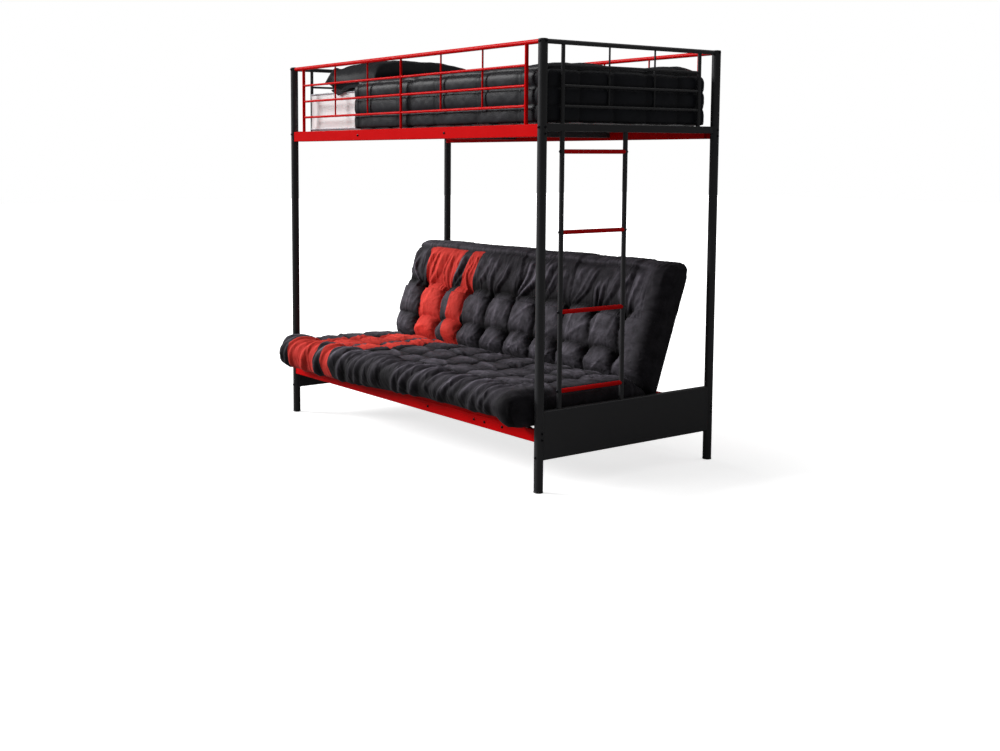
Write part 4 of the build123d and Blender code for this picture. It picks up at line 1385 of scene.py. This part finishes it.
class BED_OT_stage(bpy.types.Operator):
    """Sets up the pale floor, the even studio light and the camera"""

    bl_idname = "futon_bed.stage"
    bl_label = "Stage"

    def execute(self, context):
        stage = settings().stage
        scene = context.scene
        scene.view_settings.view_transform = "Standard"
        bm = bmesh.new()
        bmesh.ops.create_grid(bm, x_segments=2, y_segments=2, size=FLOOR_SIZE)
        mesh = bpy.data.meshes.new("studio_floor")
        bm.to_mesh(mesh)
        bm.free()
        mesh.materials.append(studio_floor("matt_studio_floor", tuple(stage.floor)))
        floor = bpy.data.objects.new("studio_floor", mesh)
        scene.collection.objects.link(floor)

        world = bpy.data.worlds.new("studio_sky")
        scene.world = world
        world.use_nodes = True
        tree = world.node_tree
        tree.nodes.clear()
        seen = add_node(tree, "ShaderNodeLightPath")
        rays = add_node(
            tree, "ShaderNodeMath",
            {0: seen.outputs["Is Camera Ray"], 1: seen.outputs["Is Transmission Ray"]},
            operation="MAXIMUM",
        )
        light = add_node(tree, "ShaderNodeBackground", {"Strength": stage.sky})
        backdrop = add_node(tree, "ShaderNodeBackground", {"Strength": 1.0})
        for background in (light, backdrop):
            background.inputs["Color"].default_value = (1, 1, 1, 1)
        mix = add_node(
            tree, "ShaderNodeMixShader",
            {0: rays.outputs["Value"], 1: light.outputs["Background"], 2: backdrop.outputs["Background"]},
        )
        add_node(tree, "ShaderNodeOutputWorld", {"Surface": mix.outputs["Shader"]})

        for name, (elevation, heading), strength, softness in LAMPS:
            lamp = bpy.data.lights.new(name, "SUN")
            lamp.energy = strength
            lamp.angle = softness
            holder = bpy.data.objects.new(name, lamp)
            holder.rotation_euler = (math.radians(90 - elevation), 0, math.radians(heading))
            scene.collection.objects.link(holder)

        camera = bpy.data.cameras.new("camera")
        camera.lens = stage.lens
        camera.sensor_width = 36
        camera.shift_x, camera.shift_y = stage.shift
        holder = bpy.data.objects.new("camera", camera)
        holder.location = stage.camera_place
        holder.rotation_euler = (math.pi / 2 - stage.pitch, 0, stage.yaw - math.pi / 2)
        scene.collection.objects.link(holder)
        scene.camera = holder
        return {"FINISHED"}


# Add-on

OPERATORS = (
    BED_OT_steel, BED_OT_rods, BED_OT_bolts, BED_OT_caps, BED_OT_futon, BED_OT_mattress, BED_OT_cover,
    BED_OT_pillow, BED_OT_stage,
)


class BED_PT_panel(bpy.types.Panel):
    """Lists the steps that dress the bed"""

    bl_idname = "BED_PT_panel"
    bl_label = "Futon bunk bed"
    bl_space_type = "VIEW_3D"
    bl_region_type = "UI"
    bl_category = "Futon bed"

    def draw(self, context):
        for operator in OPERATORS:
            self.layout.operator(operator.bl_idname)


SETTINGS = (SteelSettings, FutonSettings, BeddingSettings, StageSettings, BedSettings)
CLASSES = SETTINGS + OPERATORS + (BED_PT_panel,)


def register():
    """Adds the settings, the operators and the panel."""
    for cls in CLASSES:
        bpy.utils.register_class(cls)
    bpy.types.Scene.futon_bed = bpy.props.PointerProperty(type=BedSettings)


def unregister():
    """Takes them out again."""
    del bpy.types.Scene.futon_bed
    for cls in reversed(CLASSES):
        bpy.utils.unregister_class(cls)


def main():
    """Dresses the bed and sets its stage."""
    register()
    bpy.ops.futon_bed.steel()
    bpy.ops.futon_bed.rods()
    bpy.ops.futon_bed.bolts()
    bpy.ops.futon_bed.caps()
    bpy.ops.futon_bed.futon()
    bpy.ops.futon_bed.mattress()
    bpy.ops.futon_bed.cover()
    bpy.ops.futon_bed.pillow()
    bpy.ops.futon_bed.stage()


if __name__ == "__main__":
    main()
